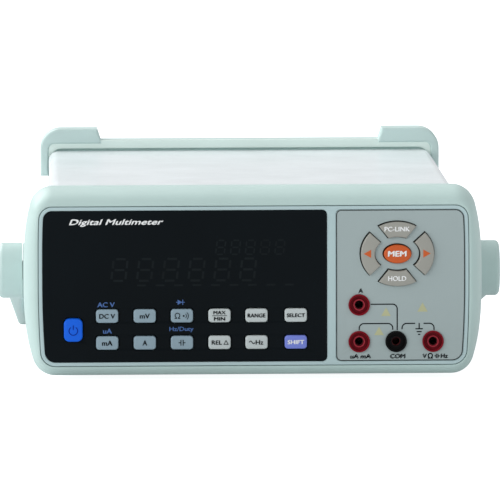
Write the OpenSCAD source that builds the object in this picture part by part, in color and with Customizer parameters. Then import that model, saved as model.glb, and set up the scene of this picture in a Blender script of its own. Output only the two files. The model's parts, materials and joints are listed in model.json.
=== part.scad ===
// Bench multimeter with a swinging carry handle, four test jacks, seventeen sprung keys,
// a latching power button, a rear mains inlet with a fuse drawer and a voltage selector.
// X is right, Y is back (the front panel faces -Y) and Z is up, in millimetres.
// The origin is on the table under the middle of the whole instrument.

/* [Case] */
// Width of the top and bottom covers
cover_w = 208; // [204:1:210]
// Height of the top of the cover above the table
cover_top = 98.9; // [98.4:0.1:99.4]
// Height of the underside of the bottom cover
cover_bottom = 4; // [3.5:0.1:4.5]
// Wall thickness of the covers
cover_t = 2.2; // [1.8:0.1:2.6]
// Height of the joint between the top and bottom covers
split_z = 30; // [26:1:33]
// Distance from the panel face to the rear end of the covers
cover_end = 234; // [230:1:236]
// Distance from the panel face to the rear end of the whole case
case_depth = 250; // [248:1:252]

/* [Bezel] */
// Full width of the front bezel at half height
bezel_w = 236.4; // [235:0.2:236.8]
// Height of the top of the bezel
bezel_top = 99.1; // [98.6:0.1:99.4]
// Height of the bottom edge of the bezel
bezel_bottom = 1.8; // [1.5:0.1:2.5]
// Depth of the rounded front slope of the bezel
bezel_slope = 18; // [16:1:19]
// Depth of the straight skirt behind the slope
bezel_skirt = 8; // [6:1:9]

/* [Front panel] */
// Width of the panel insert
panel_w = 221; // [220:0.2:222]
// Height of the panel insert
panel_h = 82; // [81.6:0.2:82.6]
// Height of the panel centre above the table
panel_z = 49.1; // [48.9:0.1:49.3]
// Thickness of the panel insert
panel_t = 3.2; // [3:0.1:3.4]
// Thickness of the smoked display window
window_t = 1.8; // [1.4:0.1:2]
// Thickness of the label plate round the jacks
overlay_t = 0.8; // [0.6:0.1:1]

/* [Keys] */
// Width of a function key
key_w = 11.8; // [11:0.2:12.2]
// Height of a function key
key_h = 7.3; // [7:0.1:7.6]
// How far a key stands out of the panel
key_proud = 1.9; // [1.5:0.1:2.2]
// Travel of a key
key_travel = 1.2; // [0.8:0.1:1.3]
// How far the power button stands out
power_proud = 3.4; // [3:0.1:4]

/* [Jacks] */
// Outer radius of a jack body
jack_r = 5.5; // [5.3:0.1:5.6]
// Bore radius of the jack contact, for a 4 mm plug
contact_bore_r = 2; // [1.95:0.05:2.05]
// Distance between neighbouring jacks
jack_pitch = 19; // [19:0.05:19.05]

/* [Handle] */
// Outer radius of the handle hubs
hub_r = 14.5; // [14:0.1:14.8]
// Distance of the hub axis behind the panel face
hub_back = 80; // [78:1:82]
// Height of the hub axis
hub_z = 49.7; // [49:0.1:51]
// Distance from the hub axis to the grip axis
arm_len = 190; // [189:0.5:191]
// Radius of the grip bar
grip_r = 8; // [7.5:0.1:8.2]
// Height of the grip axis when the handle is stored
grip_z = 9.4; // [9.2:0.1:10]

/* [Hidden] */

$fn = 48;

// The whole instrument runs from the face of the power button to the back of the grip.
drop_angle = asin((hub_z - grip_z) / arm_len);
grip_back = hub_back + arm_len * cos(drop_angle);
arm_end_r = grip_r + 0.8;
overall_front = -power_proud;
overall_back = grip_back + arm_end_r;
panel_y = -(overall_front + overall_back) / 2;

// Outlines and heights of the case.
bezel_mid_z = 50.5;
bezel_end = bezel_slope + bezel_skirt;
inner_half = cover_w / 2 - cover_t;
frame_top = 104.7;
bumper_top = 110.8;
bumper_half = 108.5;
bumper_r = 11;
bumper_reach = 33.6;
bumper_drop = 25.5;
frame_w = 208.4;
frame_bottom = 2.2;

// A barrel side: how far it curves in at its end, the power of the curve and the radius
// of the corner.
bezel_upper = [6.6, 3, 12];
bezel_lower = [7.7, 2.7, 12];
panel_upper = [0.8, 4, 6.5];
panel_lower = [1.5, 2.2, 7.5];
rim_side = [0.01, 4, 3];
rim_clear = 0.3;

// The window and the label plate follow the panel outline, this far inside it. Each ends
// at its own straight side, from the panel centre.
plate_inset = 2;
plate_corner = 2.5;
plate_clear = 0.05;
plate_proud = 0.3;
window_end = 37.5;
overlay_start = 42.3;
tube_x = [-96, 29];
tube_z = [-2.5, 31];

// Key places, from the panel centre.
key_xs = [-75.45, -56.15, -37.05, -17.75, 1.25, 21.45];
key_zs = [-15.1, -28.95];
key_gap = 0.3;
key_lip = 0.8;
key_corner = 1.9;
power_pos = [-92.85, -22.1];
power_size = [9.6, 11.9];
nav_pos = [73.6, 16.4];
nav_outer = [19, 16.7];
nav_inner = [11.6, 8.7];
nav_mem_size = [7.2, 4.9];

// Jack places: amps, milliamps, common and volts.
jack_x0 = 54.1;
jack_low_z = -29.1;
jack_high_z = jack_low_z + jack_pitch;
red_jack_places = [[jack_x0, jack_high_z], [jack_x0, jack_low_z],
                   [jack_x0 + 2 * jack_pitch, jack_low_z]];
com_jack_place = [jack_x0 + jack_pitch, jack_low_z];
all_jack_places = concat(red_jack_places, [com_jack_place]);
jack_end = 20;
contact_front = 2;
contact_r = 2.3;
collar_r = 3;
ring_gap_r = 4.7;
ring_gap_back = 1.2;

// Depths behind the panel face of the pieces inside the front.
lip_front = panel_t + 0.3;
lip_back = lip_front + 1.1;
mat_front = lip_back + key_travel + 0.4;
mat_back = mat_front + 0.7;
board_front = 10.6;
board_back = board_front + 1.6;

// Main board.
board_half = 90;
board_v = [34, 222];
board_z = 14;
board_t = 1.6;
board_top = board_z + board_t;
standoff_x = 84;
standoff_vs = [42, 214];
post_x = 96.5;
post_vs = [98, 215];
post_r = 4;
core_mid = [-50, 185, board_top + 26];
fuse_places = [[30, 70], [30, 86]];

// Handle hubs and pins.
hub_x = [118.7, 131.1];
pin_r = 5;
pin_clear = 0.05;
pin_head_r = 8;
pin_head_x = [124.4, 126.8];
hub_pocket_r = 9;
hub_floor_x = 124;
cap_x = 129;
cap_r = 10.6;
hub_gap = 0.3;
boss_r = 17;
boss_end = hub_x[0] - 2.4;
boss_neck_r = 14.2;

// The handle arm: its inner and outer faces at the hub and at the grip, and half its
// height at the hub.
arm_hub_x = [119, 126];
arm_grip_x = [115, 121];
arm_hub_half = 14;
arm_bend = 20;
arm_thin = 85;

// Rear panel pieces, from its centre height.
rear_v = 240;
rear_t = 2.5;
rear_back = rear_v + rear_t;
inlet_x = 62;
inlet_mid_z = 57;
inlet_pin_places = [[-7, -2], [7, -2], [0, 2]];
drawer_mid_z = 41.2;
selector_x = 16;
selector_mid_z = 46;
serial_x = -58;
serial_mid_z = 46;

// ---------- helpers ----------

// Moves a piece drawn from the panel face into the frame of the instrument.
module place() {
    translate([0, panel_y, 0])
        children();
}

// Extrudes an outline drawn in X and Z from depth v0 to depth v1.
module slab(v0, v1) {
    translate([0, v1, 0])
        rotate([90, 0, 0])
            linear_extrude(v1 - v0)
                children();
}

// A block from its lowest and highest corners.
module block(low, high) {
    translate(low)
        cube(high - low);
}

// A cylinder along Y from depth v0 to v1, about a point in X and Z.
module rod_y(at, r, v0, v1) {
    translate([at[0], v0, at[1]])
        rotate([-90, 0, 0])
            cylinder(r = r, h = v1 - v0);
}

// A cylinder along X from x0 to x1, about a depth and a height.
module rod_x(at, r, x0, x1) {
    translate([x0, at[0], at[1]])
        rotate([0, 90, 0])
            cylinder(r = r, h = x1 - x0);
}

// Points of a rectangle with rounded corners.
function round_rect(w, h, r, steps = 4) = [
    for (q = [0:3])
        for (i = [0:steps])
            let (a = 90 * q + 90 * i / steps,
                 sx = (q == 0 || q == 3) ? 1 : -1,
                 sz = (q < 2) ? 1 : -1)
                [sx * (w / 2 - r) + r * cos(a), sz * (h / 2 - r) + r * sin(a)]];

module rounded(w, h, r) {
    polygon(round_rect(w, h, r));
}

// A rounded rectangle given by its limits.
module rounded_between(xs, zs, r, grow = 0) {
    translate([(xs[0] + xs[1]) / 2, (zs[0] + zs[1]) / 2])
        rounded(xs[1] - xs[0] + 2 * grow, zs[1] - zs[0] + 2 * grow, r + grow);
}

function ellipse_points(a, b, n = 32) = [
    for (i = [0:n - 1]) [a * cos(360 * i / n), b * sin(360 * i / n)]];

// Half width of a barrel at a height dz of its full height h.
function side_x(dz, h, hw, side) = hw - side[0] * pow(dz / h, side[1]);

// One quarter of a barrel outline: the curved side, then the round corner.
function quarter(hw, h, side, grow, side_steps = 6, corner_steps = 5) =
    let (r = side[2] + grow,
         a0 = atan(side[0] * side[1] / h * pow(1 - 0.6 * r / h, side[1] - 1)),
         e = h - r * (1 - sin(a0)),
         cx = side_x(e, h, hw, side) - r * cos(a0))
    concat(
        [for (i = [0:side_steps - 1])
            [side_x(e * i / side_steps, h, hw, side), e * i / side_steps]],
        [for (j = [0:corner_steps])
            let (a = a0 + (90 - a0) * j / corner_steps)
                [cx + r * cos(a), h - r + r * sin(a)]]);

function backwards(list) = [for (i = [len(list) - 1:-1:0]) list[i]];

// A barrel outline about height zc that reaches up above it and down below it.
function barrel(hw, up, down, side_up, side_down, zc, grow = 0) =
    let (upper = quarter(hw, up, side_up, grow),
         lower = quarter(hw, down, side_down, grow),
         tail = [for (i = [1:len(lower) - 1]) lower[i]])
    concat(
        [for (p = upper) [p[0], zc + p[1]]],
        [for (p = backwards(upper)) [-p[0], zc + p[1]]],
        [for (p = tail) [-p[0], zc - p[1]]],
        [for (p = backwards(tail)) [p[0], zc - p[1]]]);

function mix_lists(a, b, t) = [for (i = [0:len(a) - 1]) a[i] * (1 - t) + b[i] * t];

// The panel outline, grown by some clearance.
function panel_outline(grow) =
    let (top = panel_z + panel_h / 2 + grow,
         bottom = panel_z - panel_h / 2 - grow)
    barrel(panel_w / 2 + grow, top - bezel_mid_z, bezel_mid_z - bottom, panel_upper,
           panel_lower, bezel_mid_z, grow);

// ---------- bezel ----------

bezel_outline = barrel(bezel_w / 2, bezel_top - bezel_mid_z, bezel_mid_z - bezel_bottom,
                       bezel_upper, bezel_lower, bezel_mid_z);
cover_rim_outline = barrel(inner_half - rim_clear,
                           cover_top - cover_t - rim_clear - bezel_mid_z,
                           bezel_mid_z - cover_bottom - cover_t - rim_clear, rim_side,
                           rim_side, bezel_mid_z);

// Outline at a stage from -1 (ledge behind the panel) through 0 (groove round the panel)
// and 1 (outer edge) to 2 (opening round the covers).
function bezel_stage(s) =
    s < 0 ? mix_lists(panel_outline(0.3), panel_outline(-3), -s) :
    s <= 1 ? mix_lists(panel_outline(0.3), bezel_outline, s) :
    mix_lists(bezel_outline, cover_rim_outline, s - 1);

// Cross-section of the bezel as pairs of stage and depth.
slope_steps = 7;
bezel_section = concat(
    [[0, panel_t + 0.05], [0, 0.6]],
    [for (i = [0:slope_steps])
        let (a = 90 * i / slope_steps)
            [0.05 + 0.95 * sin(a), bezel_slope * (1 - cos(a))]],
    [[1, bezel_end], [2, bezel_end], [2, bezel_end - 2], [0.72, bezel_end - 2],
     [0.72, bezel_slope], [0.64, 13], [0.45, 8], [0.2, 6.2], [-1, 5.5],
     [-1, panel_t + 0.05]]);

// A closed ring swept from matched outlines, one for each point of the cross-section.
module ring_loft(section) {
    outlines = [for (p = section) bezel_stage(p[0])];
    n = len(outlines[0]);
    m = len(section);
    points = [for (k = [0:m - 1])
                for (i = [0:n - 1])
                    [outlines[k][i][0], section[k][1], outlines[k][i][1]]];
    faces = [for (k = [0:m - 1])
                for (i = [0:n - 1])
                    for (half = [0, 1])
                        let (k2 = (k + 1) % m,
                             i2 = (i + 1) % n,
                             a = k * n + i,
                             b = k * n + i2,
                             c = k2 * n + i2,
                             d = k2 * n + i)
                            half == 0 ? [a, c, b] : [a, d, c]];
    polyhedron(points, faces, convexity = 6);
}

module front_bezel() {
    color([0.79, 0.87, 0.86])
        place()
            ring_loft(bezel_section);
}

// ---------- front panel, window and label plate ----------

module key_outlines(grow) {
    for (x = key_xs, z = key_zs)
        translate([x, z])
            rounded(key_w + 2 * grow, key_h + 2 * grow, key_corner + grow);
}

module power_outline(grow) {
    translate(power_pos)
        rounded(power_size[0] + 2 * grow, power_size[1] + 2 * grow, 2.5 + grow);
}

// One curved navigation key between two ellipses. Its half angles are larger outside
// than inside, so the gap to the next key stays even.
function nav_points(middle, half_out, half_in, grow, steps = 8) = concat(
    [for (i = [0:steps])
        let (a = middle - half_out + 2 * half_out * i / steps)
            [(nav_outer[0] + grow) * cos(a), (nav_outer[1] + grow) * sin(a)]],
    [for (i = [0:steps])
        let (a = middle + half_in - 2 * half_in * i / steps)
            [(nav_inner[0] - grow) * cos(a), (nav_inner[1] - grow) * sin(a)]]);

// Key number 0 is right, 1 is up, 2 is left and 3 is down.
module nav_outline(number, grow) {
    sideways = number % 2 == 0;
    half_out = (sideways ? 41.7 : 30.9) + grow * 3;
    half_in = (sideways ? 42.9 : 23.4) + grow * 5;
    translate(nav_pos)
        polygon(nav_points(90 * number, half_out, half_in, grow));
}

module mem_outline(grow) {
    translate(nav_pos)
        polygon(ellipse_points(nav_mem_size[0] + grow, nav_mem_size[1] + grow));
}

module nav_outlines(grow) {
    for (number = [0:3])
        nav_outline(number, grow);
    mem_outline(grow);
}

// Everything that is drawn from the panel centre.
module on_panel() {
    place()
        translate([0, 0, panel_z])
            children();
}

// The part of the panel face between two sides that the window or the label plate fills.
module plate_outline(xs, grow) {
    half = panel_h / 2 - plate_inset;
    intersection() {
        translate([0, -panel_z])
            polygon(panel_outline(grow - plate_inset));
        rounded_between(xs, [-half, half], plate_corner, grow);
    }
}

module window_outline(grow) {
    plate_outline([-panel_w, window_end], grow);
}

module overlay_outline(grow) {
    plate_outline([overlay_start, panel_w], grow);
}

module jack_holes(v0, v1) {
    for (p = all_jack_places)
        rod_y(p, jack_r, v0, v1);
}

module front_panel() {
    color([0.72, 0.82, 0.84])
        on_panel()
            difference() {
                slab(0, panel_t)
                    translate([0, -panel_z])
                        polygon(panel_outline(0));
                slab(-1, window_t - plate_proud)
                    window_outline(plate_clear);
                slab(-1, overlay_t - plate_proud)
                    overlay_outline(plate_clear);
                slab(-1, panel_t + 1)
                    rounded_between([tube_x[0] - 1, tube_x[1] + 1],
                                    [tube_z[0] - 1, tube_z[1] + 1], 1);
                slab(-1, panel_t + 1)
                    key_outlines(key_gap);
                slab(-1, panel_t + 1)
                    power_outline(key_gap);
                slab(-1, panel_t + 1)
                    nav_outlines(key_gap);
                jack_holes(-1, panel_t + 1);
            }
}

module display_window() {
    color([0.06, 0.09, 0.1])
        on_panel()
            difference() {
                slab(-plate_proud, window_t - plate_proud)
                    window_outline(0);
                slab(-1, window_t + 1)
                    key_outlines(key_gap);
                slab(-1, window_t + 1)
                    power_outline(key_gap);
            }
}

module terminal_overlay() {
    color([0.65, 0.7, 0.71])
        on_panel()
            difference() {
                slab(-plate_proud, overlay_t - plate_proud)
                    overlay_outline(0);
                slab(-1, overlay_t + 1)
                    nav_outlines(key_gap);
                jack_holes(-1, overlay_t + 1);
            }
}

// ---------- covers, rear frame and feet ----------

module cover_ring() {
    mid = (cover_top + cover_bottom) / 2;
    h = cover_top - cover_bottom;
    difference() {
        translate([0, mid])
            rounded(cover_w, h, 5);
        translate([0, mid])
            rounded(cover_w - 2 * cover_t, h - 2 * cover_t, 5 - cover_t);
    }
}

module top_cover() {
    color([0.91, 0.93, 0.94])
        place()
            difference() {
                union() {
                    slab(bezel_end, cover_end)
                        intersection() {
                            cover_ring();
                            translate([-cover_w, split_z])
                                square([2 * cover_w, 200]);
                        }
                    for (sx = [-1, 1], v = post_vs)
                        translate([sx * post_x, v, cover_bottom + cover_t])
                            cylinder(r = post_r, h = cover_top - cover_bottom - 2 * cover_t);
                }
                for (sx = [-1, 1], v = post_vs)
                    translate([sx * post_x, v, 0])
                        cylinder(r = 1.5, h = 24);
                for (sx = [-1, 1])
                    rod_x([hub_back, hub_z], pin_r, sx * cover_w / 2 - 10,
                          sx * cover_w / 2 + 10);
            }
}

module bottom_cover() {
    color([0.88, 0.91, 0.92])
        place()
            difference() {
                slab(bezel_end, cover_end)
                    intersection() {
                        cover_ring();
                        translate([-cover_w, -1])
                            square([2 * cover_w, split_z + 1]);
                    }
                for (sx = [-1, 1], v = post_vs)
                    translate([sx * post_x, v, 0])
                        cylinder(r = 1.5, h = 10);
                for (row = [0:7], sx = [-1, 1])
                    block([sx * 40 - 22, 90 + 12 * row, 0], [sx * 40 + 22, 92.5 + 12 * row, 10]);
            }
}

// Outline of one corner bumper. The outer corner is round and the inner end slants.
function bumper_points(rise, reach, drop) =
    let (x = bumper_half, z = bumper_top, r = bumper_r)
    concat([[x, z - drop]],
           [for (i = [0:6]) [x - r + r * cos(15 * i), z - r + r * sin(15 * i)]],
           [[x - reach + 2.7, z], [x - reach, z - rise], [x - 4.6, z - rise],
            [x - 4.6, z - drop]]);

module bumpers() {
    for (sx = [0, 1])
        mirror([sx, 0, 0]) {
            slab(cover_end - 2.5, case_depth)
                polygon(bumper_points(8.2, bumper_reach, bumper_drop));
            slab(cover_end - 2.5, case_depth)
                translate([0, bumper_top + 0.6])
                    mirror([0, 1])
                        polygon(bumper_points(4, bumper_reach, bumper_drop));
        }
}

module rear_frame() {
    height = frame_top - frame_bottom;
    mid = (frame_top + frame_bottom) / 2;
    color([0.77, 0.86, 0.85])
        place()
            difference() {
                union() {
                    slab(cover_end + 1.2, case_depth - 2)
                        translate([0, mid])
                            rounded(frame_w, height, 6);
                    slab(cover_end, cover_end + 1.2)
                        translate([0, (cover_top + cover_bottom) / 2])
                            rounded(cover_w - 2, cover_top - cover_bottom - 2, 4);
                    bumpers();
                }
                slab(cover_end - 1, rear_v)
                    rounded_between([-98, 98], [10, 94], 3);
                slab(rear_v, case_depth + 1)
                    rounded_between([-100, 100], [8, 96], 3);
                slab(cover_end - 4, cover_end)
                    translate([0, (cover_top + cover_bottom) / 2])
                        rounded(cover_w + 0.6, cover_top - cover_bottom + 0.6, 5.3);
            }
}

module rear_panel() {
    color([0.3, 0.32, 0.34])
        place()
            difference() {
                slab(rear_v, rear_back)
                    rounded_between([-100, 100], [8, 96], 3);
                slab(rear_v - 1, rear_back + 1)
                    rounded_between([inlet_x - 14, inlet_x + 14], [35, 68], 2);
                slab(rear_v - 1, rear_back + 1)
                    rounded_between([selector_x - 12, selector_x + 12],
                                    [selector_mid_z - 6, selector_mid_z + 6], 1);
                slab(rear_v - 1, rear_back + 1)
                    rounded_between([serial_x - 10, serial_x + 10],
                                    [serial_mid_z - 5.5, serial_mid_z + 5.5], 3);
                for (row = [0:4], sx = [-1, 1])
                    block([sx * 48 - 26, rear_v - 1, 76 + 4 * row - 1],
                          [sx * 48 + 26, rear_back + 1, 76 + 4 * row + 1]);
            }
}

module rubber_feet() {
    color([0.12, 0.12, 0.13])
        place()
            for (sx = [-1, 1], v = [52, 205])
                translate([sx * 80, v, 0]) {
                    cylinder(r1 = 8.4, r2 = 9, h = 1);
                    translate([0, 0, 1])
                        cylinder(r = 9, h = cover_bottom - 1);
                }
}

module case_screws() {
    color("silver")
        place()
            for (sx = [-1, 1], v = post_vs)
                translate([sx * post_x, v, cover_bottom]) {
                    cylinder(r = 1.5, h = 16);
                    translate([0, 0, -1.6])
                        difference() {
                            cylinder(r = 3, h = 1.6);
                            translate([-2.2, -0.4, -1])
                                cube([4.4, 0.8, 1.7]);
                            translate([-0.4, -2.2, -1])
                                cube([0.8, 4.4, 1.7]);
                        }
                }
}

// ---------- test jacks ----------

module jack_body(at) {
    difference() {
        rod_y(at, jack_r, -1.2, jack_end);
        difference() {
            rod_y(at, ring_gap_r, -2, ring_gap_back);
            rod_y(at, collar_r, -3, ring_gap_back + 1);
        }
        rod_y(at, collar_r + 0.5, -2, -0.4);
        rod_y(at, contact_r, -1, jack_end + 1);
    }
}

module red_jacks() {
    color([0.55, 0.05, 0.08])
        on_panel()
            for (p = red_jack_places)
                jack_body(p);
}

module com_jack() {
    color([0.04, 0.04, 0.05])
        on_panel()
            jack_body(com_jack_place);
}

module jack_contacts() {
    color([0.8, 0.68, 0.35])
        on_panel()
            for (p = all_jack_places)
                difference() {
                    union() {
                        rod_y(p, contact_r, contact_front, jack_end + 4);
                        rod_y(p, 3.4, jack_end, jack_end + 1.5);
                    }
                    rod_y(p, contact_bore_r, contact_front - 1, contact_front + 19);
                }
}

module jack_nuts() {
    color("silver")
        on_panel()
            for (p = all_jack_places)
                difference() {
                    translate([p[0], panel_t, p[1]])
                        rotate([-90, 0, 0])
                            cylinder(r = 8, h = 3, $fn = 6);
                    rod_y(p, jack_r, panel_t - 1, panel_t + 4);
                }
}

// ---------- boards and parts inside ----------

module display_board() {
    color([0.1, 0.35, 0.2])
        on_panel()
            difference() {
                slab(board_front, board_back)
                    polygon([[-104, -33], [42, -33], [42, -0.6], [99, -0.6], [99, 37],
                             [-104, 37]]);
                slab(board_front - 1, board_back + 1)
                    translate(power_pos)
                        square([6, 8], center = true);
            }
}

module display_tube() {
    color([0.18, 0.22, 0.22])
        on_panel() {
            slab(panel_t + 0.6, board_front - 0.4)
                rounded_between(tube_x, tube_z, 1.5);
            for (x = [tube_x[0] + 8:12:tube_x[1] - 6])
                block([x, board_front - 0.4, tube_z[0] + 2],
                      [x + 1, board_front, tube_z[0] + 3]);
        }
}

module key_mat() {
    color([0.75, 0.75, 0.72])
        on_panel() {
            slab(mat_front, mat_back)
                rounded_between([-83, 29], [-34, -11], 2);
            slab(mat_front, mat_back)
                rounded_between([53, 93.5], [0.2, 35], 4);
        }
}

function nav_switch_place(number) =
    [nav_pos[0] + 15.5 * cos(90 * number), nav_pos[1] + 12.8 * sin(90 * number)];

module key_switches() {
    color([0.15, 0.15, 0.16])
        on_panel() {
            for (x = key_xs, z = key_zs)
                block([x - 3, mat_back, z - 3], [x + 3, board_front, z + 3]);
            for (number = [0:3])
                let (p = nav_switch_place(number))
                    block([p[0] - 3, mat_back, p[1] - 3], [p[0] + 3, board_front, p[1] + 3]);
            block([nav_pos[0] - 3, mat_back, nav_pos[1] - 3],
                  [nav_pos[0] + 3, board_front, nav_pos[1] + 3]);
        }
}

module main_board() {
    color([0.1, 0.4, 0.22])
        place()
            difference() {
                block([-board_half, board_v[0], board_z], [board_half, board_v[1], board_top]);
                for (sx = [-1, 1], v = standoff_vs)
                    translate([sx * standoff_x, v, board_z - 1])
                        cylinder(r = 1.6, h = board_t + 2);
            }
}

module board_standoffs() {
    color([0.85, 0.8, 0.5])
        place()
            for (sx = [-1, 1], v = standoff_vs)
                translate([sx * standoff_x, v, cover_bottom + cover_t]) {
                    cylinder(r = 3, h = board_z - cover_bottom - cover_t);
                    cylinder(r = 1.6, h = board_top - cover_bottom - cover_t);
                    translate([0, 0, board_top - cover_bottom - cover_t])
                        cylinder(r = 3, h = 1.8);
                }
}

module transformer_core() {
    color([0.45, 0.45, 0.47])
        place()
            translate(core_mid)
                difference() {
                    block([-30, -12, -26], [30, 12, 26]);
                    for (sx = [-1, 1])
                        block([sx * 15 - 5, -13, -15], [sx * 15 + 5, 13, 15]);
                }
}

module transformer_coil() {
    color([0.85, 0.7, 0.25])
        place()
            translate(core_mid)
                difference() {
                    block([-19.5, -22, -14.5], [19.5, 22, 14.5]);
                    block([-10.2, -12.2, -20], [10.2, 12.2, 20]);
                }
}

module capacitors() {
    color([0.15, 0.17, 0.3])
        place() {
            for (i = [0:1])
                translate([10 + 22 * i, 200, board_top])
                    cylinder(r = 9, h = 30);
            for (i = [0:2])
                translate([-10 + 12 * i, 160, board_top])
                    cylinder(r = 4, h = 14);
        }
}

module heat_sink() {
    color([0.7, 0.72, 0.74])
        place() {
            block([48, 150, board_top], [84, 154, board_top + 30]);
            for (i = [0:5])
                block([48 + 6.4 * i, 154, board_top], [50 + 6.4 * i, 168, board_top + 30]);
        }
}

module input_fuses() {
    color([0.9, 0.9, 0.88])
        place()
            for (p = fuse_places)
                rod_x([p[1], board_top + 6], 3.15, p[0], p[0] + 32);
}

module fuse_clips() {
    color([0.8, 0.68, 0.35])
        place()
            for (p = fuse_places, dx = [2, 25])
                difference() {
                    block([p[0] + dx, p[1] - 4.2, board_top],
                          [p[0] + dx + 5, p[1] + 4.2, board_top + 7.5]);
                    rod_x([p[1], board_top + 6], 3.15, p[0] + dx - 1, p[0] + dx + 6);
                    block([p[0] + dx - 1, p[1] - 2.6, board_top + 6],
                          [p[0] + dx + 6, p[1] + 2.6, board_top + 9]);
                }
}

module ribbon_cable() {
    color([0.6, 0.62, 0.65])
        place() {
            block([-20, board_back, panel_z - 16], [20, 44, panel_z - 15.2]);
            block([-20, 44, board_top], [20, 44.8, panel_z - 15.2]);
        }
}

module mains_switch() {
    color([0.2, 0.2, 0.22])
        place()
            translate([power_pos[0] + 8, 0, 0])
                difference() {
                    block([-12.5, 60, board_top], [4.5, 84, panel_z + power_pos[1] + 7]);
                    block([-10.5, 58, panel_z + power_pos[1] - 3.2],
                          [-5.5, 74, panel_z + power_pos[1] + 3.2]);
                }
}

// ---------- rear pieces ----------

module mains_inlet() {
    color([0.05, 0.05, 0.06])
        place()
            difference() {
                union() {
                    slab(rear_back, rear_back + 2)
                        rounded_between([inlet_x - 17, inlet_x + 17], [32.5, 70.5], 3);
                    slab(216, rear_back)
                        rounded_between([inlet_x - 13.9, inlet_x + 13.9], [35.1, 67.9], 2);
                }
                slab(228, rear_back + 3)
                    rounded_between([inlet_x - 12.2, inlet_x + 12.2],
                                    [inlet_mid_z - 8.3, inlet_mid_z + 8.3], 3);
                block([inlet_x - 11.8, 219, drawer_mid_z - 4.3],
                      [inlet_x + 11.8, rear_back + 3, drawer_mid_z + 4.3]);
                for (p = inlet_pin_places)
                    block([inlet_x + p[0] - 1, 210, inlet_mid_z + p[1] - 2],
                          [inlet_x + p[0] + 1, 230, inlet_mid_z + p[1] + 2]);
            }
}

module inlet_pins() {
    color("silver")
        place()
            for (p = inlet_pin_places)
                block([inlet_x + p[0] - 1, 211, inlet_mid_z + p[1] - 2],
                      [inlet_x + p[0] + 1, rear_back - 1, inlet_mid_z + p[1] + 2]);
}

module fuse_drawer() {
    color([0.08, 0.08, 0.09])
        place()
            difference() {
                union() {
                    block([inlet_x - 11.4, 221, drawer_mid_z - 3.9],
                          [inlet_x + 11.4, rear_back + 1, drawer_mid_z + 3.9]);
                    block([inlet_x - 11.4, rear_back + 1, drawer_mid_z - 3.9],
                          [inlet_x + 11.4, rear_back + 2.2, drawer_mid_z + 3.9]);
                }
                block([inlet_x - 4, rear_back + 1.2, drawer_mid_z - 5],
                      [inlet_x + 4, rear_back + 3, drawer_mid_z - 2.4]);
            }
}

module voltage_selector() {
    color([0.75, 0.1, 0.1])
        place()
            difference() {
                union() {
                    slab(rear_back, rear_back + 1)
                        rounded_between([selector_x - 15, selector_x + 15],
                                        [selector_mid_z - 8, selector_mid_z + 8], 1.5);
                    slab(226, rear_back)
                        rounded_between([selector_x - 11.9, selector_x + 11.9],
                                        [selector_mid_z - 5.9, selector_mid_z + 5.9], 1);
                }
                block([selector_x - 7, rear_back - 3, selector_mid_z - 2.7],
                      [selector_x + 7, rear_back + 2, selector_mid_z + 2.7]);
            }
}

module selector_slider() {
    color([0.9, 0.9, 0.88])
        place()
            difference() {
                block([selector_x - 6.7, rear_back - 2.6, selector_mid_z - 2.4],
                      [selector_x - 0.7, rear_back + 0.6, selector_mid_z + 2.4]);
                block([selector_x - 6, rear_back - 0.2, selector_mid_z - 0.4],
                      [selector_x - 1.4, rear_back + 1, selector_mid_z + 0.4]);
            }
}

module serial_connector() {
    color([0.78, 0.78, 0.8])
        place() {
            difference() {
                union() {
                    slab(rear_back, rear_back + 0.8)
                        rounded_between([serial_x - 15.5, serial_x + 15.5],
                                        [serial_mid_z - 6.2, serial_mid_z + 6.2], 1.5);
                    slab(228, rear_back)
                        rounded_between([serial_x - 9.8, serial_x + 9.8],
                                        [serial_mid_z - 5.3, serial_mid_z + 5.3], 2.5);
                    slab(rear_back + 0.8, rear_back + 6)
                        translate([serial_x, serial_mid_z])
                            polygon([[-8.4, 4], [8.4, 4], [7, -4], [-7, -4]]);
                }
                for (i = [0:4])
                    rod_y([serial_x - 5.5 + 2.75 * i, serial_mid_z + 1.4], 0.6, 240, 260);
                for (i = [0:3])
                    rod_y([serial_x - 4.1 + 2.75 * i, serial_mid_z - 1.4], 0.6, 240, 260);
            }
            for (sx = [-1, 1])
                translate([serial_x + sx * 12.5, rear_back + 0.8, serial_mid_z])
                    rotate([-90, 0, 0])
                        cylinder(r = 2.8, h = 4.5, $fn = 6);
        }
}

// ---------- handle ----------

// Draws a piece for the right side, or mirrored for the left.
module on_side(sx) {
    mirror([sx < 0 ? 1 : 0, 0, 0])
        children();
}

module handle_bosses() {
    color([0.77, 0.86, 0.85])
        place()
            for (sx = [-1, 1])
                on_side(sx)
                    difference() {
                        union() {
                            rod_x([hub_back, hub_z], boss_r, cover_w / 2, boss_end);
                            rod_x([hub_back, hub_z], boss_neck_r, boss_end, hub_x[0] - hub_gap);
                        }
                        rod_x([hub_back, hub_z], pin_r, 100, hub_x[0] + 1);
                    }
}

module pivot_pins() {
    color("silver")
        place()
            for (sx = [-1, 1])
                on_side(sx) {
                    rod_x([hub_back, hub_z], pin_r, inner_half, pin_head_x[0]);
                    rod_x([hub_back, hub_z], pin_head_r, pin_head_x[0], pin_head_x[1]);
                    rod_x([hub_back, hub_z], pin_head_r, inner_half - 2.5, inner_half);
                }
}

// Draws a piece from the hub axis with +Y along the stored arm.
module along_arm() {
    place()
        translate([0, hub_back, hub_z])
            rotate([-drop_angle, 0, 0])
                children();
}

// The arm seen from above: distance from the hub against X.
arm_plan = [[arm_hub_x[0], -arm_hub_half], [arm_hub_x[1], -arm_hub_half],
            [arm_hub_x[1], arm_hub_half], [arm_grip_x[1], arm_len + arm_end_r],
            [arm_grip_x[0], arm_len + arm_end_r], [arm_grip_x[0], arm_len - 6],
            [arm_hub_x[0] - 0.1, arm_thin], [arm_hub_x[0], arm_bend]];

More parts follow.
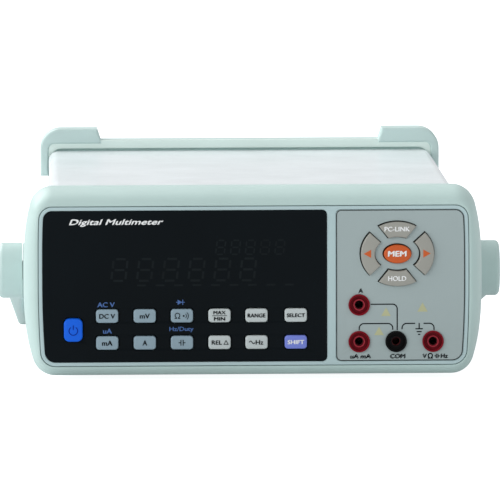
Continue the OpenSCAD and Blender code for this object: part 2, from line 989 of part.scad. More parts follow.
// The arm seen from the side: distance from the hub against height.
arm_side = concat(
    [for (i = [0:8]) [-arm_hub_half * sin(22.5 * i), arm_hub_half * cos(22.5 * i)]],
    [for (i = [0:8]) [arm_len + arm_end_r * sin(22.5 * i), -arm_end_r * cos(22.5 * i)]]);

module handle_arm() {
    difference() {
        union() {
            intersection() {
                translate([0, 0, -20])
                    linear_extrude(40)
                        polygon(arm_plan);
                translate([110, 0, 0])
                    rotate([90, 0, 90])
                        linear_extrude(20)
                            polygon(arm_side);
            }
            rod_x([0, 0], hub_r, hub_x[0], hub_x[1]);
        }
        rod_x([0, 0], pin_r + pin_clear, hub_x[0] - 1, hub_floor_x + 1);
        rod_x([0, 0], hub_pocket_r, hub_floor_x, cap_x + 0.01);
        rod_x([0, 0], cap_r, cap_x, hub_x[1] + 1);
    }
}

module handle_arm_right() {
    color([0.79, 0.87, 0.86])
        along_arm()
            handle_arm();
}

module handle_arm_left() {
    color([0.79, 0.87, 0.86])
        along_arm()
            on_side(-1)
                handle_arm();
}

module handle_grip() {
    color([0.77, 0.86, 0.85])
        along_arm()
            rod_x([arm_len, 0], grip_r, -arm_grip_x[0], arm_grip_x[0]);
}

module hub_caps() {
    color([0.74, 0.84, 0.83])
        along_arm()
            for (sx = [-1, 1])
                on_side(sx)
                    rod_x([0, 0], cap_r - 0.1, cap_x, hub_x[1] - 0.2);
}

// ---------- power button and keys ----------

module power_button() {
    color([0.12, 0.43, 0.94])
        on_panel() {
            slab(-power_proud, lip_front)
                power_outline(0);
            slab(lip_front, lip_back)
                power_outline(key_lip);
        }
}

module switch_pushrod() {
    color([0.85, 0.85, 0.83])
        on_panel()
            block([power_pos[0] - 1.5, lip_back, power_pos[1] - 2.5],
                  [power_pos[0] + 1.5, 70, power_pos[1] + 2.5]);
}

// A function key: the cap, and a lip behind the panel that keeps it in.
module function_key(column, row) {
    on_panel()
        translate([key_xs[column], 0, key_zs[row]]) {
            slab(-key_proud, lip_front)
                rounded(key_w, key_h, key_corner);
            slab(lip_front, lip_back)
                rounded(key_w + 2 * key_lip, key_h + 2 * key_lip, key_corner);
        }
}

module blue_key(column, row) {
    color([0.63, 0.7, 0.75])
        function_key(column, row);
}

module grey_key(column, row) {
    color([0.75, 0.76, 0.75])
        function_key(column, row);
}

module shift_key(column, row) {
    color([0.47, 0.53, 0.84])
        function_key(column, row);
}

module nav_key(number) {
    color([0.63, 0.63, 0.6])
        on_panel() {
            slab(-key_proud, lip_front)
                nav_outline(number, 0);
            slab(lip_front, lip_back)
                nav_outline(number, 0.7);
        }
}

module nav_mem() {
    color([0.8, 0.33, 0.14])
        on_panel() {
            slab(-key_proud - 0.3, lip_front)
                mem_outline(0);
            slab(lip_front, lip_back)
                mem_outline(0.7);
        }
}

front_bezel();
front_panel();
display_window();
terminal_overlay();
top_cover();
bottom_cover();
rear_frame();
rear_panel();
rubber_feet();
case_screws();
red_jacks();
com_jack();
jack_contacts();
jack_nuts();
main_board();
display_board();
display_tube();
key_mat();
key_switches();
transformer_core();
transformer_coil();
capacitors();
heat_sink();
input_fuses();
fuse_clips();
mains_inlet();
inlet_pins();
fuse_drawer();
voltage_selector();
selector_slider();
serial_connector();
mains_switch();
ribbon_cable();
board_standoffs();
handle_bosses();
pivot_pins();
handle_arm_left();
handle_arm_right();
handle_grip();
hub_caps();
power_button();
switch_pushrod();
blue_key(0, 0);  // key_dc_v
blue_key(1, 0);  // key_mv
blue_key(2, 0);  // key_ohm
grey_key(3, 0);  // key_max_min
grey_key(4, 0);  // key_range
grey_key(5, 0);  // key_select
blue_key(0, 1);  // key_ma
blue_key(1, 1);  // key_a
blue_key(2, 1);  // key_cap
grey_key(3, 1);  // key_rel
grey_key(4, 1);  // key_hz
shift_key(5, 1);  // key_shift
nav_key(1);  // nav_up
nav_key(3);  // nav_down
nav_key(2);  // nav_left
nav_key(0);  // nav_right
nav_mem();
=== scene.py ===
"""Looks of the bench multimeter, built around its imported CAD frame.

Lengths in the tables are in millimetres and become metres through MM. Places on the front come from the
middle of the front panel: x to the right, v behind the panel face and z up.
"""

import json
from math import atan, atan2, cos, hypot, pi, radians, sin, sqrt

import bmesh
import bpy
from mathutils import Matrix, Vector


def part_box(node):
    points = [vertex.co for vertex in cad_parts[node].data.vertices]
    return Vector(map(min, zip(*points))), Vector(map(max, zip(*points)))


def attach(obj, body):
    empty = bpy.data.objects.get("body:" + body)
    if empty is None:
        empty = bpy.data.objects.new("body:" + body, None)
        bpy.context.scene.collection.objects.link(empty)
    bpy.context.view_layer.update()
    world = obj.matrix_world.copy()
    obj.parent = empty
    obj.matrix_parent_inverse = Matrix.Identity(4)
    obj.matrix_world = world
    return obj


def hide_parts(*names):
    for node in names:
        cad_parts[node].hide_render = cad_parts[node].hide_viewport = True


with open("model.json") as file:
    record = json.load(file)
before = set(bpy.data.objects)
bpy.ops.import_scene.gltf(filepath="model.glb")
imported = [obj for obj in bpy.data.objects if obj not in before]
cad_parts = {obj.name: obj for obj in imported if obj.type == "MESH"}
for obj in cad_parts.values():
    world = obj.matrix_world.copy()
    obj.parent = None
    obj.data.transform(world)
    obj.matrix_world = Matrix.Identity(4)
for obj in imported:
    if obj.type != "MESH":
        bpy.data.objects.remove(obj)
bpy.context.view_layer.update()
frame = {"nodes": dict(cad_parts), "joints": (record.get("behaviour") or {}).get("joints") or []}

MM = 0.001
SCENE = bpy.context.scene

PANEL_LOW, PANEL_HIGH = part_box("front_panel")
PANEL_FACE = PANEL_LOW.y
PANEL_MID_Z = (PANEL_LOW.z + PANEL_HIGH.z) / 2
KEY_LIP = 0.8
GAP = 0.3
FLAT_AREA = 3.0  # larger faces of a plate, in square millimetres, are shaded flat


def at(x, v, z):
    """A point from the middle of the panel face, in metres."""
    return Vector((x * MM, PANEL_FACE + v * MM, PANEL_MID_Z + z * MM))


def up_from_table(x, v, z):
    """A point behind the panel face and above the table, in metres."""
    return Vector((x * MM, PANEL_FACE + v * MM, z * MM))


def limits(node):
    """A node's limits in millimetres: across, behind the panel face and above the table."""
    low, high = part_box(node)
    return ([low.x / MM, high.x / MM], [(low.y - PANEL_FACE) / MM, (high.y - PANEL_FACE) / MM],
            [low.z / MM, high.z / MM])


def new_object(name, data):
    made = bpy.data.objects.new(name, data)
    SCENE.collection.objects.link(made)
    return made


# ---------- camera ----------

CAMERA_PITCH = 5.7
CAMERA_YAW = 1.8
CAMERA_ROLL = 0.14
CAMERA_DISTANCE = 3.819
CAMERA_LENS, SENSOR_WIDTH = 535.4, 36
CLIP = (0.5, 60)
PANEL_SHIFT = (0.0020, -0.01844)


def make_camera():
    """A long lens, slightly above and to the left of the instrument."""
    pitch, yaw = radians(CAMERA_PITCH), radians(CAMERA_YAW)
    roll = radians(CAMERA_ROLL)
    forward = Vector((sin(yaw) * cos(pitch), cos(yaw) * cos(pitch),
                      -sin(pitch)))
    level = Vector((cos(yaw), -sin(yaw), 0))
    over = level.cross(forward)
    right = level * cos(roll) - over * sin(roll)
    over = over * cos(roll) + level * sin(roll)
    place = at(0, 0, 0) - forward * CAMERA_DISTANCE
    place -= right * PANEL_SHIFT[0] + over * PANEL_SHIFT[1]
    data = bpy.data.cameras.new("camera")
    data.lens = CAMERA_LENS
    data.sensor_width = SENSOR_WIDTH
    data.clip_start, data.clip_end = CLIP
    camera = new_object("camera", data)
    camera.matrix_world = Matrix((
        (right.x, over.x, -forward.x, place.x),
        (right.y, over.y, -forward.y, place.y),
        (right.z, over.z, -forward.z, place.z),
        (0, 0, 0, 1)))
    SCENE.camera = camera


make_camera()


# ---------- materials ----------

def linear(colour):
    """Display colour from 0 to 255 as linear light."""
    return tuple(((c / 255 + 0.055) / 1.055) ** 2.4 if c > 10 else c / 255 / 12.92 for c in colour)


def set_inputs(node, **values):
    """Sets a shader node's inputs. An underscore stands for the space in an input's name."""
    for name, value in values.items():
        node.inputs[name.replace("_", " ")].default_value = value


def noise(tree, coords, scale, detail, rough, stretch):
    """A noise pattern in the piece's own metres, stretched along an axis if asked."""
    texture = tree.nodes.new("ShaderNodeTexNoise")
    set_inputs(texture, Scale=scale, Detail=detail, Roughness=rough)
    if stretch:
        mapping = tree.nodes.new("ShaderNodeMapping")
        set_inputs(mapping, Scale=stretch)
        tree.links.new(coords.outputs["Object"], mapping.inputs["Vector"])
        tree.links.new(mapping.outputs["Vector"], texture.inputs["Vector"])
    else:
        tree.links.new(coords.outputs["Object"], texture.inputs["Vector"])
    return texture


def ramp(tree, source, stops):
    """A colour ramp over a pattern's value, between two stops: a place and a linear colour."""
    node = tree.nodes.new("ShaderNodeValToRGB")
    for element, (place, colour) in zip(node.color_ramp.elements, stops):
        element.position = place
        element.color = (*colour, 1)
    tree.links.new(source, node.inputs["Fac"])
    return node


def shade(colour, factor):
    return tuple(min(1, c * factor) for c in colour)


GRAIN_DEPTH = 0.0002
COAT_ROUGH = 0.12


def surface(name, colour, rough, vary=0.05, grain=2600, bump=0.05, metal=0.0, coat=0.0,
            specular=0.5, rough_vary=0.06, stretch=None, blotch=28):
    """A moulded, printed or plated surface: slow colour variation, fine grain and uneven gloss."""
    made = bpy.data.materials.new(name)
    made.use_nodes = True
    tree = made.node_tree
    shader = tree.nodes["Principled BSDF"]
    coords = tree.nodes.new("ShaderNodeTexCoord")
    base = linear(colour)
    slow = noise(tree, coords, blotch, 4, 0.6, stretch)
    tint = ramp(tree, slow.outputs["Fac"],
                [(0.3, shade(base, 1 - vary)), (0.7, shade(base, 1 + vary))])
    tree.links.new(tint.outputs["Color"], shader.inputs["Base Color"])
    fine = noise(tree, coords, grain, 2, 0.5, stretch)
    spread = tree.nodes.new("ShaderNodeMapRange")
    set_inputs(spread, To_Min=max(0.02, rough - rough_vary), To_Max=min(1, rough + rough_vary))
    tree.links.new(slow.outputs["Fac"], spread.inputs["Value"])
    tree.links.new(spread.outputs["Result"], shader.inputs["Roughness"])
    relief = tree.nodes.new("ShaderNodeBump")
    set_inputs(relief, Strength=bump, Distance=GRAIN_DEPTH)
    tree.links.new(fine.outputs["Fac"], relief.inputs["Height"])
    tree.links.new(relief.outputs["Normal"], shader.inputs["Normal"])
    set_inputs(shader, Metallic=metal, Coat_Weight=coat, Coat_Roughness=COAT_ROUGH,
               Specular_IOR_Level=specular)
    return made


def mint(name, colour):
    """The case plastic. The rear frame's lighter copies are this same plastic with painted light in
    their colour.
    """
    return surface(name, colour, 0.46, vary=0.025, bump=0.16, rough_vary=0.05)


MINT = mint("mint_plastic", (190, 214, 210))
# The rear shell's mint is painted lighter: painted light on front faces that the lamps leave in shade.
MINT_REAR_PAINTED_LIGHT = mint("mint_rear_painted_light", (196, 219, 216))
# The frame ring's mint is lighter still: a painted highlight for the light that its top bar's edge
# catches.
MINT_FRAME_PAINTED_HIGHLIGHT = mint("mint_frame_painted_highlight", (226, 244, 238))
COVER = surface("cover_plastic", (234, 241, 244), 0.22, vary=0.02, bump=0.12)
PANEL = surface("panel_plastic", (184, 208, 210), 0.42, vary=0.02, bump=0.1)
WINDOW = surface("smoked_window", (10, 17, 21), 0.1, vary=0.12, bump=0.0, specular=0.07,
                 rough_vary=0.02, blotch=14)
GHOST = surface("display_ghost", (18, 25, 28), 0.2, vary=0.2, specular=0.1, blotch=60)
OVERLAY = surface("label_silver", (165, 180, 180), 0.4, vary=0.02, grain=5200, bump=0.12)
RUBBER = surface("foot_rubber", (34, 34, 36), 0.85, vary=0.2, bump=0.5, grain=1500)
ZINC = surface("zinc_steel", (196, 196, 196), 0.32, vary=0.08, metal=1, bump=0.1,
               stretch=(1, 1, 7), blotch=90)
JACK_RED = surface("jack_red", (128, 10, 28), 0.5, bump=0.03, specular=0.14)
JACK_BLACK = surface("jack_black", (12, 12, 14), 0.5, vary=0.1, bump=0.03, specular=0.12)
# A lighter copy of the jack red for the collars: a painted highlight for the light on their rounded
# front edge.
COLLAR_RED_PAINTED_HIGHLIGHT = surface("collar_red_painted_highlight", (164, 46, 60), 0.5, bump=0.03, specular=0.2)
CONTACT = surface("contact_tinned", (104, 30, 36), 0.5, vary=0.12, metal=0.2, blotch=300)
BRASS = surface("contact_brass", (150, 120, 70), 0.35, vary=0.12, metal=1, blotch=300)
BOARD = surface("board_green", (22, 92, 54), 0.4, vary=0.12, bump=0.1, blotch=140, coat=0.2)
GLASS = surface("tube_glass", (36, 44, 44), 0.12, vary=0.1, bump=0.0)
# The key mat is dark grey so that the gaps round the keys show painted shade.
SILICONE_DARK_FOR_SHADE = surface("silicone", (58, 60, 62), 0.6, vary=0.08, bump=0.1)
BLACK = surface("black_plastic", (28, 28, 30), 0.4, vary=0.1, bump=0.25)
CORE = surface("core_steel", (74, 74, 78), 0.5, vary=0.15, metal=0.6, stretch=(1, 60, 1),
               blotch=40, bump=0.3)
COIL = surface("coil_tape", (206, 170, 60), 0.35, vary=0.1, stretch=(1, 1, 12), bump=0.2)
SLEEVE = surface("capacitor_sleeve", (30, 34, 72), 0.3, vary=0.08)
ALUMINIUM = surface("bare_aluminium", (186, 188, 192), 0.38, vary=0.06, metal=1,
                    stretch=(1, 1, 0.1), blotch=200)
WHITE = surface("white_plastic", (222, 222, 216), 0.42, vary=0.03)
SELECTOR = surface("selector_red", (172, 26, 28), 0.32)
RIBBON = surface("ribbon_grey", (142, 148, 156), 0.45, vary=0.12, stretch=(24, 1, 1), blotch=40)
REAR = surface("rear_grey", (92, 98, 102), 0.5, bump=0.35, grain=1400)
POWER = surface("power_blue", (12, 100, 230), 0.34, vary=0.04, bump=0.03, specular=0.22)
KEY_BLUE = surface("key_blue_grey", (142, 165, 177), 0.5, vary=0.03, bump=0.12)
KEY_GREY = surface("key_light_grey", (194, 203, 203), 0.5, vary=0.03, bump=0.12)
SHIFT = surface("shift_blue", (116, 132, 218), 0.48, vary=0.03, bump=0.12)
NAV = surface("nav_grey", (160, 160, 152), 0.5, vary=0.03, bump=0.14)
ORANGE = surface("mem_orange", (206, 88, 22), 0.42, vary=0.03, bump=0.1)
INK_WHITE = surface("ink_white", (238, 240, 240), 0.5, vary=0.02)
INK_DARK = surface("ink_dark", (8, 11, 17), 0.6, vary=0.08, specular=0.1)
INK_BLUE = surface("ink_blue", (68, 106, 168), 0.5, vary=0.04)
INK_DEEP = surface("ink_deep_blue", (4, 44, 150), 0.6, vary=0.04, specular=0.1)
INK_ORANGE = surface("ink_orange", (204, 92, 30), 0.5, vary=0.03)
INK_YELLOW = surface("ink_yellow", (186, 188, 148), 0.5)

NODE_MATERIALS = {
    "case_screws": ZINC, "jack_nuts": ZINC, "jack_contacts": CONTACT, "main_board": BOARD,
    "display_board": BOARD, "display_tube": GLASS, "key_mat": SILICONE_DARK_FOR_SHADE, "key_switches": BLACK,
    "transformer_core": CORE, "transformer_coil": COIL, "capacitors": SLEEVE,
    "heat_sink": ALUMINIUM, "input_fuses": WHITE, "fuse_clips": BRASS, "mains_inlet": BLACK,
    "inlet_pins": ZINC, "fuse_drawer": BLACK, "voltage_selector": SELECTOR,
    "selector_slider": WHITE, "serial_connector": ZINC, "mains_switch": BLACK,
    "ribbon_cable": RIBBON, "board_standoffs": BRASS, "pivot_pins": ZINC,
    "switch_pushrod": WHITE,
}
for node_name, node_look in NODE_MATERIALS.items():
    node = frame["nodes"][node_name]
    node.data.materials.clear()
    node.data.materials.append(node_look)


# ---------- mesh helpers ----------

def add_object(name, mesh, look, body, replaces=(), sharp=38, flat=False):
    """Links a finished mesh as a piece that rides on a CAD body. Flat plates shade flat."""
    mesh.materials.clear()
    mesh.materials.append(look)
    mesh.shade_smooth()
    mesh.set_sharp_from_angle(angle=radians(sharp))
    if flat:
        for face in mesh.polygons:
            face.use_smooth = face.area < FLAT_AREA * MM * MM
    piece = new_object(name, mesh)
    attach(piece, body)
    if replaces:
        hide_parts(*replaces)
    return piece


def finish_bmesh(name, made, weld=1e-7):
    bmesh.ops.remove_doubles(made, verts=made.verts, dist=weld)
    bmesh.ops.recalc_face_normals(made, faces=made.faces)
    mesh = bpy.data.meshes.new(name)
    made.to_mesh(mesh)
    made.free()
    return mesh


def add_loft(made, rings, ring_closed=True, joined=False):
    """Skins rings of equal length. A joined loft runs from the last ring back to the first."""
    rows = [[made.verts.new(p) for p in ring] for ring in rings]
    n = len(rows[0])
    pairs = list(zip(rows, rows[1:]))
    if joined:
        pairs.append((rows[-1], rows[0]))
    for low, high in pairs:
        for i in range(n if ring_closed else n - 1):
            j = (i + 1) % n
            made.faces.new((low[i], low[j], high[j], high[i]))
    if not joined:
        made.faces.new(list(reversed(rows[0])))
        made.faces.new(rows[-1])


def add_lathe(made, profile, centre, axis="y", steps=64):
    """Turns (radius, distance) pairs about an axis through a centre in metres."""
    rings = []
    for r, d in profile:
        ring = []
        for i in range(steps):
            a = 2 * pi * i / steps
            c, s = r * cos(a), r * sin(a)
            offset = {"x": (d, c, s), "y": (c, d, s), "z": (c, s, d)}[axis]
            ring.append(centre + Vector(offset) * MM)
        rings.append(ring)
    add_loft(made, rings, joined=True)


def round_rect(w, h, r, steps=6):
    """Points of a rectangle with rounded corners, going left round its middle."""
    points = []
    for q, (sx, sz) in enumerate(((1, 1), (-1, 1), (-1, -1), (1, -1))):
        for i in range(steps + 1):
            a = radians(90 * q + 90 * i / steps)
            points.append((sx * (w / 2 - r) + r * cos(a), sz * (h / 2 - r) + r * sin(a)))
    return points


def moved(points, dx, dz):
    return [(x + dx, z + dz) for x, z in points]


def between(xs, zs, r, grow=0.0, steps=6):
    """A rounded rectangle given by its limits."""
    points = round_rect(xs[1] - xs[0] + 2 * grow, zs[1] - zs[0] + 2 * grow, r + grow, steps)
    return moved(points, (xs[0] + xs[1]) / 2, (zs[0] + zs[1]) / 2)


def ellipse(a, b, steps=56):
    return [(a * cos(2 * pi * i / steps), b * sin(2 * pi * i / steps))
            for i in range(steps)]


def arc(cx, cz, r, start, end, steps=12):
    return [(cx + r * cos(radians(start + (end - start) * i / steps)),
             cz + r * sin(radians(start + (end - start) * i / steps)))
            for i in range(steps + 1)]


def inset(points, d):
    """Moves an outline inward by d along its corners' mitres."""
    n = len(points)
    moved_in = []
    for i in range(n):
        before, here, after = (Vector(points[j % n]) for j in (i - 1, i, i + 1))
        one, two = (here - before).normalized(), (after - here).normalized()
        normal = Vector((-one.y - two.y, one.x + two.x))
        if normal.length < 1e-6:
            normal = Vector((-one.y, one.x))
        normal.normalize()
        lean = max(0.5, normal.dot(Vector((-one.y, one.x))))
        moved_in.append(tuple(here + normal * (d / lean)))
    return moved_in


def cap_mesh(name, outline, front, back, edge, rise=0.0, steps=5, levels=4):
    """A key cap: straight sides, a quarter round at the front edge and, if asked, a crown."""
    rings = [[at(x, back, z) for x, z in outline]]
    for k in range(steps + 1):
        a = radians(90 * k / steps)
        shape = inset(outline, edge * (1 - cos(a)))
        rings.append([at(x, front + edge * (1 - sin(a)), z) for x, z in shape])
    if rise:
        face = inset(outline, edge)
        cx, cz = (sum(values) / len(face) for values in zip(*face))
        for k in range(1, levels + 1):
            t = 1 - k / (levels + 0.25)  # the last ring stays a little way from the middle
            rings.append([at(cx + (x - cx) * t, front - rise * (1 - t * t), cz + (z - cz) * t)
                          for x, z in face])
    made = bmesh.new()
    add_loft(made, rings)
    return finish_bmesh(name, made)


def plate_mesh(name, outline, holes, front, back, edge, place=at, rounding=2):
    """A plate with holes and rounded edges, filled by a flat curve."""
    curve = bpy.data.curves.new(name, "CURVE")
    curve.dimensions = "2D"
    curve.fill_mode = "BOTH"
    curve.extrude = ((back - front) / 2 - edge) * MM
    curve.bevel_depth = edge * MM
    curve.bevel_resolution = rounding
    curve.offset = -edge * MM
    for points in [outline, *holes]:
        spline = curve.splines.new("POLY")
        spline.points.add(len(points) - 1)
        for point, (x, z) in zip(spline.points, points):
            point.co = (x * MM, z * MM, 0, 1)
        spline.use_cyclic_u = True
    return solid_from_curve(name, curve, (front + back) / 2, place)


def flat_bmesh(curve):
    """The mesh of a flat curve or of letters, with the curve used up."""
    holder = new_object(curve.name, curve)
    bpy.context.view_layer.update()
    evaluated = holder.evaluated_get(bpy.context.evaluated_depsgraph_get())
    mesh = bpy.data.meshes.new_from_object(evaluated)
    bpy.data.objects.remove(holder)
    bpy.data.curves.remove(curve)
    made = bmesh.new()
    made.from_mesh(mesh)
    bpy.data.meshes.remove(mesh)
    return made


def solid_from_curve(name, curve, middle, place):
    """Stands a flat curve's mesh upright at a depth, as one welded solid."""
    made = flat_bmesh(curve)
    origin = place(0, middle, 0)
    for vertex in made.verts:
        x, z, depth = vertex.co
        vertex.co = origin + Vector((x, -depth, z))
    return finish_bmesh(name, made, 1e-6)


def add_plate(name, mesh, look, node):
    """Adds a flat plate of the case that replaces one CAD node."""
    add_object(name, mesh, look, "case", [node], flat=True)


def add_solid(name, made, look, body, node):
    """Adds a finished solid that replaces one CAD node."""
    add_object(name, finish_bmesh(name, made), look, body, [node])


def join_meshes(name, meshes):
    made = bmesh.new()
    for mesh in meshes:
        made.from_mesh(mesh)
        bpy.data.meshes.remove(mesh)
    mesh = bpy.data.meshes.new(name)
    made.to_mesh(mesh)
    made.free()
    return mesh


# ---------- bezel ----------

(_, BEZEL_HALF), (_, BEZEL_END), (BEZEL_BOTTOM, BEZEL_TOP) = limits("front_bezel")
BEZEL_MID = 50.5
BEZEL_UP, BEZEL_DOWN = BEZEL_TOP - BEZEL_MID, BEZEL_MID - BEZEL_BOTTOM
BEZEL_SLOPE = 18


# A barrel side: how far it curves in at its end, the power of the curve and its corner radius.
BEZEL_UPPER, BEZEL_LOWER = (6.6, 3, 12), (7.7, 2.7, 12)
PANEL_UPPER, PANEL_LOWER = (0.8, 4, 6.5), (1.5, 2.2, 7.5)
RIM_SIDE = (0.01, 4, 3)
RIM_INSET, RIM_LOW = 2.5, 6.5  # the opening at the back lies inside the covers
LEDGE_V = 3.25  # just behind the panel
BEAD = 0.035  # the bead's share of the way from the panel to the edge


def quarter(hw, h, side, grow, side_steps=14, corner_steps=12):
    """One quarter of a barrel outline: the curved side, then the round corner."""
    curve, power, r = side[0], side[1], side[2] + grow
    lean = atan(curve * power / h * (1 - 0.6 * r / h) ** (power - 1))
    top_of_side = h - r * (1 - sin(lean))

    def side_x(z):
        return hw - curve * (z / h) ** power

    cx = side_x(top_of_side) - r * cos(lean)
    places = [top_of_side * i / side_steps for i in range(side_steps)]
    turns = [lean + (pi / 2 - lean) * j / corner_steps for j in range(corner_steps + 1)]
    return [(side_x(z), z) for z in places] + [(cx + r * cos(a), h - r + r * sin(a))
                                               for a in turns]


def barrel(hw, up, down, side_up, side_down, mid, grow=0.0):
    """The outline of the front, with height above the table."""
    upper, lower = quarter(hw, up, side_up, grow), quarter(hw, down, side_down, grow)[1:]
    return ([(x, mid + z) for x, z in upper] + [(-x, mid + z) for x, z in reversed(upper)]
            + [(-x, mid - z) for x, z in lower] + [(x, mid - z) for x, z in reversed(lower)])


def mixed(one, two, t):
    return [(a * (1 - t) + c * t, b * (1 - t) + d * t) for (a, b), (c, d) in zip(one, two)]


def panel_outline(grow):
    top, bottom = PANEL_HIGH.z / MM + grow, PANEL_LOW.z / MM - grow
    return barrel(PANEL_HIGH.x / MM + grow, top - BEZEL_MID, BEZEL_MID - bottom, PANEL_UPPER,
                  PANEL_LOWER, BEZEL_MID, grow)


BEZEL_OUTLINE = barrel(BEZEL_HALF, BEZEL_UP, BEZEL_DOWN, BEZEL_UPPER, BEZEL_LOWER, BEZEL_MID)


def bezel_stage(s):
    """Outlines from -1, the ledge behind the panel, through 0, the groove, to 1, the edge."""
    if s < 0:
        return mixed(panel_outline(GAP), panel_outline(-3), -s)
    return mixed(panel_outline(GAP), BEZEL_OUTLINE, s)


def make_bezel():
    """The front frame: a small bead round the panel, a convex slope, a skirt and a back wall."""
    (_, half), _, (_, top) = limits("top_cover")
    half, top = half - RIM_INSET, top - RIM_INSET
    rim = barrel(half, top - BEZEL_MID, BEZEL_MID - RIM_LOW, RIM_SIDE, RIM_SIDE, BEZEL_MID)
    section = [(0, LEDGE_V), (0, 0.5), (0.012, 0.12), (BEAD, 0.0)]
    steps = 22
    for i in range(1, steps + 1):
        a = radians(90 * i / steps)
        section.append((BEAD + (1 - BEAD) * sin(a), BEZEL_SLOPE * (1 - cos(a))))
    section += [(1, BEZEL_END - 0.6), (0.985, BEZEL_END)]
    wall = BEZEL_END - 2
    inner = [(0.72, wall), (0.72, BEZEL_SLOPE), (0.64, 13), (0.45, 8), (0.2, 6.2), (-1, 5.5),
             (-1, LEDGE_V)]
    rows = [(bezel_stage(s), v) for s, v in section] + [(rim, BEZEL_END), (rim, wall)]
    rows += [(bezel_stage(s), v) for s, v in inner]
    made = bmesh.new()
    add_loft(made, [[up_from_table(x, v, z) for x, z in row] for row, v in rows], joined=True)
    add_solid("bezel_shell", made, MINT, "case", "front_bezel")


make_bezel()


# ---------- front panel, window and label plate ----------

PLATE_INSET, PLATE_CORNER = 2.0, 2.5
RIM_BACK = 1.5
PANEL_BACK = limits("front_panel")[1][1]


def plate_outline(node, grow=0.0):
    """The window on the left or the label plate on the right: the panel outline, cut off straight."""
    side = -1 if node == "display_window" else 1
    outline = moved(panel_outline(grow - PLATE_INSET), 0, -PANEL_MID_Z / MM)
    edge = limits(node)[0][0 if side > 0 else 1] - side * grow
    half = max(z for _, z in outline)
    r = PLATE_CORNER
    cx = edge + side * r
    kept = [(x, z) for x, z in outline if side * (x - cx) > 0]
    if side < 0:
        return arc(cx, r - half, r, -90, 0) + arc(cx, half - r, r, 0, 90) + kept
    ends = arc(cx, half - r, r, 90, 180) + arc(cx, r - half, r, 180, 270)
    return [p for p in kept if p[1] >= 0] + ends + [p for p in kept if p[1] < 0]


BLUE, GREY = (KEY_BLUE, "key_blue_grey"), (KEY_GREY, "key_light_grey")
FUNCTION_KEYS = {
    "key_dc_v": BLUE, "key_mv": BLUE, "key_ohm": BLUE, "key_max_min": GREY,
    "key_range": GREY, "key_select": GREY, "key_ma": BLUE, "key_a": BLUE,
    "key_cap": BLUE, "key_rel": GREY, "key_hz": GREY, "key_shift": (SHIFT, "shift_blue"),
}
POWER_CORNER = 2.9


def node_middle(node):
    """The middle of a node on the panel, in millimetres from the panel's middle."""
    xs, _, zs = limits(node)
    return (sum(xs) / 2, sum(zs) / 2 - PANEL_MID_Z / MM)


def node_front(node):
    return limits(node)[1][0]


PLATE_FRONT = node_front("display_window")


def key_outline(node, grow=0.0, corner=1.9):
    """The outline of a key's cap, without the lip behind the panel."""
    xs, _, zs = limits(node)
    w, h = (high - low - 2 * KEY_LIP + 2 * grow for low, high in (xs, zs))
    return moved(round_rect(w, h, corner + grow), *node_middle(node))


# The curved keys: half widths and heights of their ellipses, and half angles of their ends,
# outside and inside, for the two at the sides and the two above and below.
NAV_OUTER, NAV_INNER = (19.0, 16.7), (11.6, 8.7)
NAV_SPREAD = ((41.7, 42.9), (30.9, 23.4))
MEM_RADII = (7.2, 4.9)
NAV_PLACE = node_middle("nav_mem")
NAV_NODES = ["nav_right", "nav_up", "nav_left", "nav_down"]


def nav_outline(number, grow=0.0, steps=16):
    """A curved key between two ellipses, wider outside than inside."""
    half_out, half_in = NAV_SPREAD[number % 2]
    half_out, half_in = half_out + grow * 3, half_in + grow * 5
    points = []
    for radii, half, way in ((NAV_OUTER, half_out, 1), (NAV_INNER, half_in, -1)):
        for i in range(steps + 1):
            a = radians(90 * number + way * half * (2 * i / steps - 1))
            points.append(((radii[0] + way * grow) * cos(a),
                           (radii[1] + way * grow) * sin(a)))
    return moved(points, *NAV_PLACE)


def mem_outline(grow=0.0):
    return moved(ellipse(MEM_RADII[0] + grow, MEM_RADII[1] + grow), *NAV_PLACE)


COMMON_JACK = node_middle("com_jack")
RED_X, _, RED_Z = limits("red_jacks")
JACK_R = limits("com_jack")[0][1] - COMMON_JACK[0]
JACKS = {
    "amps": (RED_X[0] + JACK_R, RED_Z[1] - PANEL_MID_Z / MM - JACK_R),
    "milliamps": (RED_X[0] + JACK_R, COMMON_JACK[1]),
    "common": COMMON_JACK,
    "volts": (RED_X[1] - JACK_R, COMMON_JACK[1]),
}


def jack_outline(place, grow=0.0):
    return moved(ellipse(JACK_R + grow, JACK_R + grow, 48), *place)


def make_panel():
    key_holes = [key_outline(node, GAP) for node in FUNCTION_KEYS]
    key_holes.append(key_outline("power_button", GAP, POWER_CORNER))
    nav_holes = [nav_outline(i, GAP) for i in range(4)] + [mem_outline(GAP)]
    jack_holes = [jack_outline(place) for place in JACKS.values()]
    holes = [plate_outline("display_window", 0.12), plate_outline("terminal_overlay", 0.15)]
    outline = moved(panel_outline(0), 0, -PANEL_MID_Z / MM)
    rim = plate_mesh("panel_rim", outline, holes, 0, RIM_BACK, 0.22)
    back = plate_mesh("panel_back", outline, key_holes + nav_holes + jack_holes, RIM_BACK,
                      PANEL_BACK, 0.05)
    add_plate("panel_insert", join_meshes("panel_insert", [rim, back]), PANEL, "front_panel")
    window = plate_mesh("window_plate", plate_outline("display_window"), key_holes,
                        PLATE_FRONT, RIM_BACK, 0.18)
    add_plate("window_plate", window, WINDOW, "display_window")
    overlay = plate_mesh("label_plate", plate_outline("terminal_overlay"),
                         nav_holes + jack_holes, PLATE_FRONT, 0.5, 0.1)
    add_plate("label_plate", overlay, OVERLAY, "terminal_overlay")


make_panel()


# ---------- keys ----------

# The curved keys are a little smaller than their holes, and lie low and to the right in them.
NAV_SHRINK = 0.1
NAV_LEAN = 0.27
KEY_SHRINK = 0.2
KEY_BACK = 4.9
KEY_CROWN = 0.1


